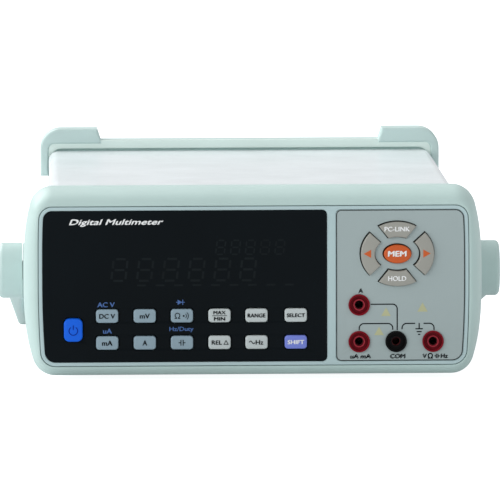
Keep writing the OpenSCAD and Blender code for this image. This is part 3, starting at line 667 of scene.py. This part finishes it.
def make_keys():
    for node, (look, slot) in FUNCTION_KEYS.items():
        mesh = cap_mesh(node + "_cap", key_outline(node, -KEY_SHRINK),
                        node_front(node) + KEY_CROWN, KEY_BACK, 0.6, KEY_CROWN)
        add_object(node + "_cap", mesh, look, node + "_body", [node])
    mesh = cap_mesh("power_cap", key_outline("power_button", corner=POWER_CORNER),
                    node_front("power_button") + 0.25, KEY_BACK, 0.8, 0.15)
    add_object("power_cap", mesh, POWER, "power_switch", ["power_button"])
    for number, node in enumerate(NAV_NODES):
        outline = moved(nav_outline(number, -NAV_SHRINK), NAV_LEAN, -NAV_LEAN)
        mesh = cap_mesh(node + "_cap", outline, node_front(node), KEY_BACK, 0.7)
        add_object(node + "_cap", mesh, NAV, node + "_body", [node])
    outline = moved(mem_outline(-NAV_SHRINK), NAV_LEAN, -NAV_LEAN)
    mesh = cap_mesh("nav_mem_cap", outline, node_front("nav_mem") + 0.2, KEY_BACK, 0.8, 0.2)
    add_object("nav_mem_cap", mesh, ORANGE, "nav_mem_body", ["nav_mem"])


make_keys()


# ---------- jacks ----------

RING_GAP_BACK = 1.2
BORE_R, COLLAR_R, SOCKET_BACK, COLLAR_FRONT = 2.3, 3.0, 20, 0.1
SOCKET = [(5.5, SOCKET_BACK), (5.5, -0.9), (5.4, -1.12), (5.2, -1.2), (4.95, -1.2), (4.76, -1.1),
          (4.7, -0.9), (4.7, RING_GAP_BACK), (COLLAR_R, RING_GAP_BACK), (COLLAR_R, COLLAR_FRONT),
          (BORE_R, COLLAR_FRONT), (BORE_R, SOCKET_BACK)]
COLLAR = [(COLLAR_R, COLLAR_FRONT), (COLLAR_R, -0.2), (2.9, -0.36), (2.72, -0.4), (2.5, -0.36),
          (2.35, -0.1), (BORE_R, COLLAR_FRONT)]


def make_jacks():
    """Sockets with a rounded rim, a shallow ring gap and a collar round the contact."""
    red_collars = bmesh.new()
    for name, (x, z) in JACKS.items():
        common = name == "common"
        made = bmesh.new()
        add_lathe(made, SOCKET, at(x, 0, z), steps=72)
        add_lathe(made if common else red_collars, COLLAR, at(x, 0, z), steps=72)
        look, node, slot = ((JACK_BLACK, "com_jack", "jack_black") if common
                            else (JACK_RED, "red_jacks", "jack_red"))
        add_solid("jack_" + name, made, look, "case", node)
    # The red collars take the lighter red of the painted highlight.
    add_solid("jack_collars", red_collars, COLLAR_RED_PAINTED_HIGHLIGHT, "case", "red_jacks")


make_jacks()


# ---------- covers ----------

(_, COVER_HALF), COVER_V, (_, COVER_TOP) = limits("top_cover")
COVER_BOTTOM, SPLIT_Z = limits("bottom_cover")[2]
SEAM = 0.12
COVER_T = 2.2
COVER_R = 5
# The step cut into the open ends: how far in from the outside, and how far from the end.
END_STEP = [(0.35, 0.35), (0.245, 0.105), (0, 0)]


def half_shell(top, bottom, upper, inside=0.0):
    """An arch or a tray outline: sides and one closed end with round corners."""
    half, r = COVER_HALF - inside, COVER_R - inside
    sign = 1 if upper else -1
    start, end = (bottom, top - inside) if upper else (top, bottom + inside)
    points = [(half, start)] + arc(half - r, end - sign * r, r, 0, 90 * sign, 10)
    return points + [(-x, z) for x, z in reversed(points)]


def make_cover(name, node, upper):
    """An open shell, with a small step just inside the edge of its ends."""
    top = COVER_TOP if upper else SPLIT_Z - SEAM
    bottom = SPLIT_Z + SEAM if upper else COVER_BOTTOM
    stages = [(inside, COVER_V[0] + along) for inside, along in END_STEP]
    stages += [(inside, COVER_V[1] - along) for inside, along in reversed(END_STEP)]
    stages += [(COVER_T, COVER_V[1]), (COVER_T, COVER_V[0])]
    rings = [[up_from_table(x, v, z) for x, z in half_shell(top, bottom, upper, inside)]
             for inside, v in stages]
    made = bmesh.new()
    add_loft(made, rings, ring_closed=False, joined=True)
    bmesh.ops.holes_fill(made, edges=[e for e in made.edges if e.is_boundary])
    add_solid(name, made, COVER, "case", node)


make_cover("cover_upper_shell", "top_cover", True)
make_cover("cover_lower_shell", "bottom_cover", False)


# ---------- rear frame and panel ----------

(_, REAR_HALF), (_, CASE_END), (BUMPER_LOW, BUMPER_TOP) = limits("rear_frame")


# Bumpers: corner radius, thickness, slant and fillet of the inner end, and the two lengths.
BUMPER_R, BUMPER_T, BUMPER_SLANT, BUMPER_FILLET = 11, 4.6, 2.7, 3
BUMPER_REACH, BUMPER_DROP = 33.6, 25.5
UPPER_RISE, LOWER_RISE = 8.2, 4

FRAME_HALF, FRAME_R = 104.2, 6
FRAME_LOW, FRAME_TOP = 2.2, 104.7
OPENING = ([-98, 98], [10, 94], 3)
NECK_HALF, NECK_LOW = 102.5, 5.2
RECESS_EDGE = 1.3
# Depths of the rear parts, counted from the end of the covers.
BUMPER_V, FACE_V, BODY_V, NECK_END_V, FACE_END_V = (COVER_V[1] + v for v in (0.6, 1.2, 3.2, 5, 5.4))


def bumper_outline(flip_x, flip_z):
    """A corner bumper seen from the front: round outer corner, slanted inner end."""
    x, z, r, fillet = REAR_HALF, BUMPER_TOP, BUMPER_R, BUMPER_FILLET
    low = z - (LOWER_RISE if flip_z else UPPER_RISE)
    points = [(x, z - BUMPER_DROP)] + arc(x - r, z - r, r, 0, 90)
    points += [(x - BUMPER_REACH + BUMPER_SLANT, z), (x - BUMPER_REACH, low)]
    points += arc(x - BUMPER_T - fillet, low - fillet, fillet, 90, 0, 4)
    points += [(x - BUMPER_T, z - BUMPER_DROP)]
    if flip_z:
        points = [(x, BUMPER_TOP + BUMPER_LOW - z) for x, z in points]
    if flip_x:
        points = [(-x, z) for x, z in points]
    return points if flip_x == flip_z else list(reversed(points))


def rear_plate(name, outline, holes, front, back, edge, rounding=2):
    return plate_mesh(name, outline, holes, front, back, edge, up_from_table, rounding)


def make_rear_frame():
    """A ring with a recess next to the covers, a neck that enters them and four bumpers."""
    outline = between([-FRAME_HALF, FRAME_HALF], [FRAME_LOW, FRAME_TOP], FRAME_R, steps=10)
    recess = between([RECESS_EDGE - FRAME_HALF, FRAME_HALF - RECESS_EDGE],
                     [FRAME_LOW + RECESS_EDGE, COVER_TOP + 1.1], FRAME_R)
    opening = between(*OPENING)
    neck = between([-NECK_HALF, NECK_HALF], [NECK_LOW, COVER_TOP - 1.2], 4, steps=8)
    face = rear_plate("frame_face", outline, [recess], FACE_V, FACE_END_V, 0.5)
    # The frame ring wears the mint with the painted highlight.
    add_plate("frame_ring", face, MINT_FRAME_PAINTED_HIGHLIGHT, "rear_frame")
    parts = [rear_plate("frame_body", outline, [opening], BODY_V, CASE_END - 2, 1.2, 3),
             rear_plate("frame_neck", neck, [opening], COVER_V[1], NECK_END_V, 0.1)]
    for flip_x in (False, True):
        for flip_z in (False, True):
            corner = bumper_outline(flip_x, flip_z)
            parts.append(rear_plate("bumper", corner, [], BUMPER_V, CASE_END, 1.3, 3))
    # The rear shell and bumpers wear the mint that is lightened with painted light.
    add_plate("frame_rear_shell", join_meshes("frame_rear_shell", parts), MINT_REAR_PAINTED_LIGHT,
              "rear_frame")


make_rear_frame()

# Holes of the rear panel: the node behind, how far inside its box they lie, and their corners.
REAR_HOLES = [("mains_inlet", 3.1, 2.5, 1.5), ("voltage_selector", 3.0, 2.5, 1.5),
              ("serial_connector", 5.4, 0.8, 2.5)]
VENT_ROWS, VENT_PITCH, VENT_LOW = 5, 4, 76
VENT_X, VENT_HALF_W, VENT_HALF_H = 48, 26, 1


def make_rear_panel():
    xs, (front, back), zs = limits("rear_panel")
    outline = between(xs, zs, 3)
    holes = []
    for node, in_x, in_z, r in REAR_HOLES:
        (left, right), _, (low, high) = limits(node)
        holes.append(between([left + in_x, right - in_x], [low + in_z, high - in_z], r))
    for row in range(VENT_ROWS):
        z = VENT_LOW + VENT_PITCH * row
        for x in (-VENT_X, VENT_X):
            holes.append(between([x - VENT_HALF_W, x + VENT_HALF_W],
                                 [z - VENT_HALF_H, z + VENT_HALF_H], VENT_HALF_H - 0.02))
    mesh = rear_plate("rear_plate", outline, holes, front, back, 0.2)
    add_plate("rear_plate", mesh, REAR, "rear_panel")


make_rear_panel()


# ---------- feet ----------

FOOT_R = 9
FOOT = [(FOOT_R, 4), (FOOT_R, 1.2), (8.7, 0.45), (8.0, 0.08), (7.2, 0.0), (6.2, 0.0), (5.6, 0.25),
        (5.2, 0.6), (0, 0.7), (0, 4)]
FOOT_X, FOOT_V = 80, (52, 205)


def make_feet():
    """Round rubber feet with a rounded tread and a shallow dish underneath."""
    made = bmesh.new()
    for x in (-FOOT_X, FOOT_X):
        for v in FOOT_V:
            add_lathe(made, FOOT, up_from_table(x, v, 0), axis="z", steps=48)
    add_solid("feet_round", made, RUBBER, "case", "rubber_feet")


make_feet()


# ---------- handle ----------

SWING = next(j for j in frame["joints"] if j["name"] == "handle_swing")
HUB = Vector(SWING["pos_m"])
GRIP_LOW, GRIP_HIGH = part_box("handle_grip")
GRIP_MID = (GRIP_LOW + GRIP_HIGH) / 2
ARM_LENGTH = hypot(GRIP_MID.y - HUB.y, GRIP_MID.z - HUB.z) / MM
ARM_ANGLE = atan2(GRIP_MID.z - HUB.z, GRIP_MID.y - HUB.y)
HUB_R = (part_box("handle_arm_right")[1].z - HUB.z) / MM
ARM_HALF, ARM_END_R = 14, 8.65
HUB_X = [118.7, limits("handle_arm_right")[0][1]]
HUB_BORE, HUB_ROUND = 5.05, 2.4
CAP_X, CAP_R, CAP_SEAT = HUB_X[1] - 2.1, 10.5, 124
BOSS_R, BOSS_END, BOSS_NECK_R = 17, 116.3, 14.2
# The arm's faces: distance along the arm, and across from the middle of the instrument.
ARM_OUTER = [(-ARM_HALF, 126), (ARM_HALF, 126), (ARM_LENGTH + ARM_END_R, 121)]
ARM_INNER = [(-ARM_HALF, 119), (20, 119), (85, 118.9), (ARM_LENGTH - 6, 115),
             (ARM_LENGTH + 9, 115)]
RIBS, RIB_PITCH, RIB_DEPTH = 26, 4.0, 0.35


def along_arm(x, u, w):
    """A point on the handle: x across, u from the hub towards the grip, w above the arm."""
    c, s = cos(ARM_ANGLE), sin(ARM_ANGLE)
    return HUB + Vector((x, u * c - w * s, u * s + w * c)) * MM


def follow(points, u):
    """Straight-line interpolation through (place, value) pairs."""
    for (u0, a), (u1, b) in zip(points, points[1:]):
        if u <= u1:
            return a + (b - a) * max(0, u - u0) / (u1 - u0)
    return points[-1][1]


def arm_half_height(u):
    if u < 0:
        return sqrt(max(0.01, ARM_HALF ** 2 - u ** 2))
    if u > ARM_LENGTH:
        return sqrt(max(0.01, ARM_END_R ** 2 - (u - ARM_LENGTH) ** 2))
    return ARM_HALF + (ARM_END_R - ARM_HALF) * u / ARM_LENGTH


def add_turned(made, profile, side):
    """Turns (radius, distance) pairs about the swing's axis, on one side of the case."""
    add_lathe(made, [(r, side * x) for r, x in profile], HUB, axis="x", steps=96)


def make_arm(side, name, node):
    """A tapering strap with rounded edges and a turned hub at its front end."""
    stations = [-ARM_HALF * cos(radians(9 * i)) for i in range(10)]
    stations += [ARM_LENGTH * i / 24 for i in range(1, 25)]
    stations += [ARM_LENGTH + ARM_END_R * sin(radians(10 * i)) for i in range(1, 10)]
    rings = []
    for u in stations:
        low, high, half = follow(ARM_INNER, u), follow(ARM_OUTER, u), arm_half_height(u)
        r = min(2.2, half * 0.9)
        section = moved(round_rect(high - low, 2 * half, r, 5), (low + high) / 2, 0)
        rings.append([along_arm(side * x, u, w) for x, w in section])
    made = bmesh.new()
    add_loft(made, rings)
    hub = [(HUB_BORE, HUB_X[0]), (HUB_R - 0.15, HUB_X[0]), (HUB_R, HUB_X[0] + 0.15)]
    hub += arc(HUB_R - HUB_ROUND, HUB_X[1] - HUB_ROUND, HUB_ROUND, 0, 90, 8)
    hub += [(CAP_R + 0.4, HUB_X[1]), (CAP_R + 0.1, HUB_X[1] - 0.3), (CAP_R + 0.1, CAP_X),
            (9, CAP_X), (9, CAP_SEAT), (HUB_BORE, CAP_SEAT)]
    add_turned(made, hub, side)
    add_solid(name, made, MINT, "handle", node)


make_arm(1, "arm_right_strap", "handle_arm_right")
make_arm(-1, "arm_left_strap", "handle_arm_left")


def make_turned_pair(name, profile, body, node):
    """The same turned part on both sides of the case."""
    made = bmesh.new()
    for side in (-1, 1):
        add_turned(made, profile, side)
    add_solid(name, made, MINT, body, node)


def make_hub_caps():
    """Pressed-in discs with a rounded edge and a shallow ring groove."""
    face = HUB_X[1] - 0.2
    soft, groove = face - 0.12, face - 0.4
    profile = [(0, CAP_X), (CAP_R, CAP_X), (CAP_R, groove), (10.35, soft), (10.1, face),
               (8.2, face), (8.0, soft), (7.8, groove), (7.4, groove), (7.2, soft), (7.0, face),
               (0, face)]
    make_turned_pair("hub_discs", profile, "handle", "hub_caps")


make_hub_caps()


def make_grip():
    """The cross bar, with shallow finger ribs over its middle."""
    half = GRIP_HIGH.x / MM
    radius = (GRIP_HIGH.z - GRIP_LOW.z) / 2 / MM
    floor = radius - RIB_DEPTH
    profile = [(0, -half), (radius - 0.3, -half), (radius, -half + 0.4)]
    for i in range(RIBS):
        x = RIB_PITCH * (i - RIBS / 2)
        profile += [(radius, x), (floor, x + 0.35), (floor, x + 1.0), (radius, x + 1.35)]
    profile += [(radius, half - 0.4), (radius - 0.3, half), (0, half)]
    made = bmesh.new()
    add_lathe(made, profile, Vector((0, GRIP_MID.y, GRIP_MID.z)), axis="x")
    add_solid("grip_bar", made, MINT, "handle", "handle_grip")


make_grip()


def make_bosses():
    """The fixed rings between the covers and the hubs, with a neck as wide as the hub."""
    end = limits("handle_bosses")[0][1]
    profile = [(5, COVER_HALF), (BOSS_R, COVER_HALF), (BOSS_R, BOSS_END - 0.7),
               (BOSS_R - 0.2, BOSS_END - 0.2), (BOSS_R - 0.7, BOSS_END), (BOSS_NECK_R, BOSS_END),
               (BOSS_NECK_R, end - 0.08), (BOSS_NECK_R - 0.08, end), (5, end)]
    make_turned_pair("boss_rings", profile, "case", "handle_bosses")


make_bosses()


# ---------- print ----------

PRINT_T = 0.06
PRINT_STEP = 0.02
PLATE_PRINT = PLATE_FRONT - 0.01


class Print:
    """Flat shapes printed on one face, which become one piece."""

    def __init__(self, face):
        self.face = face
        self.meshes = []

    def keep(self, made):
        """Gives the flat print a little height above its face."""
        grown = bmesh.ops.extrude_face_region(made, geom=list(made.faces))
        for item in grown["geom"]:
            if isinstance(item, bmesh.types.BMVert):
                item.co.y -= PRINT_T * MM
        self.meshes.append(finish_bmesh("print", made))

    def shape(self, outline):
        """A filled shape."""
        made = bmesh.new()
        made.faces.new([made.verts.new(at(x, self.face, z)) for x, z in outline])
        self.keep(made)

    def stroke(self, points, width, closed=False, step=0.0):
        """A line of even width through its points."""
        n = len(points)
        sides = [[], []]
        for i in range(n):
            before = points[i - 1] if i or closed else points[i]
            after = points[(i + 1) % n] if i < n - 1 or closed else points[i]
            here = Vector(points[i])
            one = (here - Vector(before)).normalized() if before != points[i] else None
            two = (Vector(after) - here).normalized() if after != points[i] else None
            one, two = one or two, two or one
            normal = Vector((-one.y - two.y, one.x + two.x)).normalized()
            lean = max(0.4, normal.dot(Vector((-one.y, one.x))))
            for side, sign in zip(sides, (1, -1)):
                side.append(here + normal * (sign * width / 2 / lean))
        made = bmesh.new()
        rows = [[made.verts.new(at(p.x, self.face - step, p.y)) for p in side] for side in sides]
        for i in range(n if closed else n - 1):
            j = (i + 1) % n
            made.faces.new((rows[0][i], rows[0][j], rows[1][j], rows[1][i]))
        self.keep(made)

    def letters(self, words, width, height, x, z, lean, step):
        """Letters fitted into a width and a height."""
        curve = bpy.data.curves.new("letters", "FONT")
        curve.body = words
        curve.size = 0.01
        curve.shear = lean
        curve.resolution_u = 3
        curve.align_x = "CENTER"
        curve.align_y = "CENTER"
        made = flat_bmesh(curve)
        xs, zs = [v.co.x for v in made.verts], [v.co.y for v in made.verts]
        sx, sz = width * MM / (max(xs) - min(xs)), height * MM / (max(zs) - min(zs))
        mx, mz = (max(xs) + min(xs)) / 2, (max(zs) + min(zs)) / 2
        origin = at(x, self.face - step, z)
        for vertex in made.verts:
            across, up = (vertex.co.x - mx) * sx, (vertex.co.y - mz) * sz
            vertex.co = origin + Vector((across, 0, up))
        bmesh.ops.remove_doubles(made, verts=made.verts, dist=1e-7)
        self.keep(made)

    def text(self, words, width, height, x, z, smear=0.22, lean=0.0):
        """Heavier letters: twice, the second a little to the side and above, a hair in front."""
        rise = smear * 0.6
        for way in (-1, 1):
            self.letters(words, width - smear, height - rise, x + way * smear / 2,
                         z + way * rise / 2, lean, PRINT_STEP * (way > 0))

    def omega(self, x, z, size, width):
        """The ohm sign as one stroke."""
        foot, low = size * 0.16, z - size * 0.42
        points = [(x - size * 0.5, low), (x - foot, low)]
        points += arc(x, z + size * 0.08, size * 0.42, 242, -62, 16)
        self.stroke(points + [(x + foot, low), (x + size * 0.5, low)], width)

    def capacitor(self, x, z, size, width):
        """Two plates with a lead on each side."""
        for side in (-1, 1):
            inner = x + side * size * 0.19
            self.stroke([(inner, z - size * 0.5), (inner, z + size * 0.5)], width)
            self.stroke([(inner, z), (x + side * size * 0.6, z)], width)

    def done(self, name, look, body="case"):
        add_object(name, join_meshes(name, self.meshes), look, body, sharp=20)


# Words on the keys: width and height, then places from the key's middle.
KEY_WORDS = {
    "key_dc_v": [("DC V", 8.2, 2.5, 0, 0)], "key_mv": [("mV", 5.2, 2.6, 0, 0)],
    "key_max_min": [("MAX", 6.4, 1.9, 0, 1.6), ("MIN", 5.8, 1.9, 0, -1.6)],
    "key_range": [("RANGE", 9.2, 2.1, 0, 0)], "key_select": [("SELECT", 9.4, 2.0, 0, 0)],
    "key_ma": [("mA", 5.4, 2.7, 0, 0)], "key_a": [("A", 2.4, 2.7, 0, 0)],
    "key_rel": [("REL", 5.4, 2.2, -1.4, 0)], "key_hz": [("Hz", 4.0, 2.4, 1.5, 0)],
    "key_shift": [("SHIFT", 8.6, 2.2, 0, 0)],
}
SIGN_WIDTH = 0.42


def add_key_signs(ink, node, cx, cz):
    """The drawn signs beside or instead of a key's words."""
    if node == "key_max_min":
        ink.stroke([(cx - 3.8, cz), (cx + 3.8, cz)], 0.3)
    if node == "key_ohm":
        beep = cx + 0.9
        ink.omega(cx - 2.3, cz, 2.9, SIGN_WIDTH)
        ink.shape(moved(ellipse(0.5, 0.5, 16), beep, cz))
        for r in (1.4, 2.4):
            ink.stroke(arc(beep, cz, r, -48, 48), 0.36)
    if node == "key_cap":
        ink.capacitor(cx, cz, 3.0, SIGN_WIDTH)
    if node == "key_rel":
        ink.stroke([(cx + 2.2, cz - 1.0), (cx + 4.4, cz - 1.0), (cx + 3.3, cz + 1.0)], 0.32,
                   closed=True)
    if node == "key_hz":
        ink.stroke([(cx - 3.8 + 0.25 * i, cz + 0.7 * sin(radians(30 * i)))
                    for i in range(13)], SIGN_WIDTH)


def make_key_print():
    for node in FUNCTION_KEYS:
        cx, cz = node_middle(node)
        ink = Print(node_front(node) - 0.02)
        for text, w, h, dx, dz in KEY_WORDS.get(node, []):
            ink.text(text, w, h, cx + dx, cz + dz)
        add_key_signs(ink, node, cx, cz)
        ink.done(node + "_print", INK_WHITE if node == "key_shift" else INK_DARK, node + "_body")


def make_nav_print():
    cx, cz = NAV_PLACE
    face = node_front("nav_up") - 0.01
    for node, words, w, h, dz in (("nav_up", "PC-LINK", 13.1, 2.5, 12.7),
                                  ("nav_down", "HOLD", 9.4, 2.6, -12.8)):
        ink = Print(face)
        ink.text(words, w, h, cx, cz + dz)
        ink.done(node + "_print", INK_WHITE, node + "_body")
    for side, node in ((1, "nav_right"), (-1, "nav_left")):
        ink = Print(face)
        base = cx + side * 13.4
        ink.shape([(cx + side * 17.2, cz), (base, cz + 2.1), (base, cz - 2.1)])
        ink.done(node + "_print", INK_ORANGE, node + "_body")
    ink = Print(node_front("nav_mem") - 0.02)
    ink.text("MEM", 9.6, 3.0, cx, cz, smear=0.42)
    ink.done("nav_mem_print", INK_WHITE, "nav_mem_body")


def make_power_print():
    """The standby sign, a broken ring with a stem."""
    x, z = node_middle("power_button")
    ink = Print(node_front("power_button") + 0.08)
    ink.stroke(arc(x, z - 0.3, 2.2, 125, 415, 24), 0.45)
    ink.stroke([(x, z + 0.2), (x, z + 2.6)], 0.45)
    ink.done("power_print", INK_DEEP, "power_switch")


def make_panel_print():
    title = Print(PLATE_PRINT)
    title.text("Digital Multimeter", 48.5, 3.9, -70.6, 32.9, smear=0.4, lean=0.25)
    title.done("title_print", INK_WHITE)
    blue = Print(PLATE_PRINT)
    blue.text("AC V", 9.0, 2.6, -76.0, -9.3)
    blue.text("uA", 4.6, 2.6, -75.3, -22.9)
    blue.text("Hz/Duty", 12.4, 2.9, -37.3, -22.3, smear=0.12)
    x, z, half = -37.9, -8.2, 1.3
    blue.shape([(x - half, z + half), (x - half, z - half), (x + 1.1, z)])
    blue.stroke([(x + half, z - half), (x + half, z + half)], 0.4)
    blue.stroke([(x - 2.1, z), (x + 2.3, z)], 0.35, step=PRINT_STEP)
    blue.done("blue_legends", INK_BLUE)


JACK_NAMES_Z = -36.7
LINE_WIDTH, LINE_R, LINE_Z = 0.6, 2.4, -19.8
EARTH_GAP = (82.9, 87.2)


def add_jack_names(ink):
    amps, milliamps, common, volts = (JACKS[name][0] for name in JACKS)
    z = JACK_NAMES_Z
    ink.text("A", 2.5, 2.5, amps + 0.8, -2.8, smear=0.4)
    ink.text("uA mA", 10.9, 2.4, milliamps + 0.7, z, smear=0.45)
    ink.text("COM", 8.0, 2.5, common + 0.8, z, smear=0.45)
    ink.text("V", 2.4, 2.4, volts - 4.3, z, smear=0.4)
    ink.omega(volts - 1.4, z, 2.6, 0.6)
    ink.capacitor(volts + 2.1, z, 2.3, 0.55)
    ink.text("Hz", 3.8, 2.4, volts + 5.8, z, smear=0.4)


def add_jack_lines(ink):
    """Lines with round corners that join the jacks, and the earth sign in the gap of the last."""
    common, reach = JACKS["common"][0], JACKS["common"][1] + JACK_R + 0.3
    high, z, r = JACKS["amps"][1] + 0.3, LINE_Z, LINE_R
    down, left, right = common + 0.55, common - 1.75, common + 3.05
    start, end = JACKS["milliamps"][0], JACKS["volts"][0] + 0.5
    lines = [
        [(JACKS["amps"][0] + JACK_R + 0.4, high)] + arc(down - r, high - r, r, 90, 0)
        + [(down, reach)],
        [(start, reach)] + arc(start + r, z - r, r, 180, 90) + arc(left - r, z - r, r, 90, 0)
        + [(left, reach + 0.3)],
        [(right, reach + 0.5)] + arc(right + r, z - r, r, 180, 90) + [(EARTH_GAP[0], z)],
        [(EARTH_GAP[1], z)] + arc(end - r, z - r, r, 90, 0) + [(end, reach)],
    ]
    x, top = sum(EARTH_GAP) / 2 - 0.1, z - 2.8
    lines.append([(x, z + 0.2), (x, top)])
    lines += [[(x - half, top - drop), (x + half, top - drop)]
              for half, drop in ((1.9, 0), (1.3, 1.5), (0.6, 2.9))]
    for line in lines:
        ink.stroke(line, LINE_WIDTH)


def make_jack_print():
    """Names and connection lines, plain yellow triangles and the label plate's border."""
    dark = Print(PLATE_PRINT)
    add_jack_names(dark)
    add_jack_lines(dark)
    dark.done("jack_legends", INK_DARK)
    yellow = Print(PLATE_PRINT)
    for x, z, size in ((67.9, -13.9, 2.5), (64.3, -23.8, 2.5), (86.7, -11.6, 2.7)):
        low = z - size * 0.8
        yellow.shape([(x - size, low), (x + size, low), (x, z + size * 0.95)])
    yellow.done("yellow_triangles", INK_YELLOW)
    border = Print(PLATE_PRINT)
    border.stroke(plate_outline("terminal_overlay", -0.25), 0.34, closed=True)
    border.done("label_border", INK_DARK)


make_key_print()
make_nav_print()
make_power_print()
make_panel_print()
make_jack_print()


# ---------- faint display in the window ----------

SEGMENTS = [  # ends of the seven bars of a digit, in half widths and half heights
    ((-1, 1), (1, 1)), ((-1, 0), (1, 0)), ((-1, -1), (1, -1)), ((-1, 0), (-1, 1)),
    ((1, 0), (1, 1)), ((-1, -1), (-1, 0)), ((1, -1), (1, 0))]
SEGMENT_TRIM = 0.16
DIGIT_LEAN = 0.12


def add_digit(ink, cx, cz, half_w, half_h, width):
    """The seven bars of one digit, leaning a little to the right."""
    for start, end in SEGMENTS:
        ends = []
        for (px, pz), (qx, qz) in ((start, end), (end, start)):
            x, z = px + SEGMENT_TRIM * (qx - px), pz + SEGMENT_TRIM * (qz - pz)
            ends.append((cx + x * half_w + DIGIT_LEAN * z * half_h, cz + z * half_h))
        ink.stroke(ends, width)


def make_ghost_display():
    """Six large digits, five small ones above and a row of bars below."""
    ink = Print(PLATE_FRONT + 0.04)
    for i in range(6):
        add_digit(ink, -69 + 13.2 * i, 8.6, 3.6, 5.6, 1.1)
    for i in range(5):
        add_digit(ink, -17 + 7.6 * i, 20.0, 2.2, 3.6, 0.7)
    for i in range(9):
        x = -60 + 9.5 * i
        ink.stroke([(x, 0.6), (x + 4.5, 0.6)], 0.9)
    ink.done("ghost_segments", GHOST)


make_ghost_display()


# ---------- floor and light ----------

FLOOR_SPAN = 30.0
# The floor's glow, as light on the instrument and as the camera sees it.
FLOOR_GLOW = (0.2, 0.85)
SKY_COLOUR, SKY = (0.98, 0.99, 1.0, 1), 0.62
KEY_TOWARD, KEY_ENERGY, KEY_SPREAD = (-0.7, 0.8, 0.85), 2.0, 50
FILL_TOWARD, FILL_ENERGY, FILL_SPREAD = (-0.95, -0.42, 0.14), 1.8, 60


def make_floor():
    """A pale floor that the camera sees as white, and that lights the instrument less."""
    mesh = bpy.data.meshes.new("floor")
    corners = [(x * FLOOR_SPAN, y * FLOOR_SPAN, 0) for x, y in ((-1, -1), (1, -1), (1, 1), (-1, 1))]
    mesh.from_pydata(corners, [], [(0, 1, 2, 3)])
    pale = surface("floor_pale", (196, 198, 200), 0.8, vary=0.004, bump=0.0, specular=0.1, blotch=3)
    tree = pale.node_tree
    shader = tree.nodes["Principled BSDF"]
    set_inputs(shader, Emission_Color=(1, 1, 1, 1))
    path = tree.nodes.new("ShaderNodeLightPath")
    glow = tree.nodes.new("ShaderNodeMapRange")
    set_inputs(glow, To_Min=FLOOR_GLOW[0], To_Max=FLOOR_GLOW[1])
    tree.links.new(path.outputs["Is Camera Ray"], glow.inputs["Value"])
    tree.links.new(glow.outputs["Result"], shader.inputs["Emission Strength"])
    mesh.materials.append(pale)
    floor = new_object("floor", mesh)


def add_sun(name, toward, energy, spread):
    data = bpy.data.lights.new(name, "SUN")
    data.energy = energy
    data.angle = radians(spread)
    light = new_object(name, data)
    light.rotation_euler = Vector(toward).to_track_quat("Z", "Y").to_euler()


def make_lights():
    """A pale sky, a soft sun high up behind on the left and a soft low one in front on the left."""
    world = bpy.data.worlds.new("studio")
    world.use_nodes = True
    sky = world.node_tree.nodes["Background"]
    set_inputs(sky, Color=SKY_COLOUR, Strength=SKY)
    SCENE.world = world
    add_sun("key_light", KEY_TOWARD, KEY_ENERGY, KEY_SPREAD)
    add_sun("fill_light", FILL_TOWARD, FILL_ENERGY, FILL_SPREAD)


make_floor()
make_lights()
SCENE.view_settings.view_transform = "Standard"
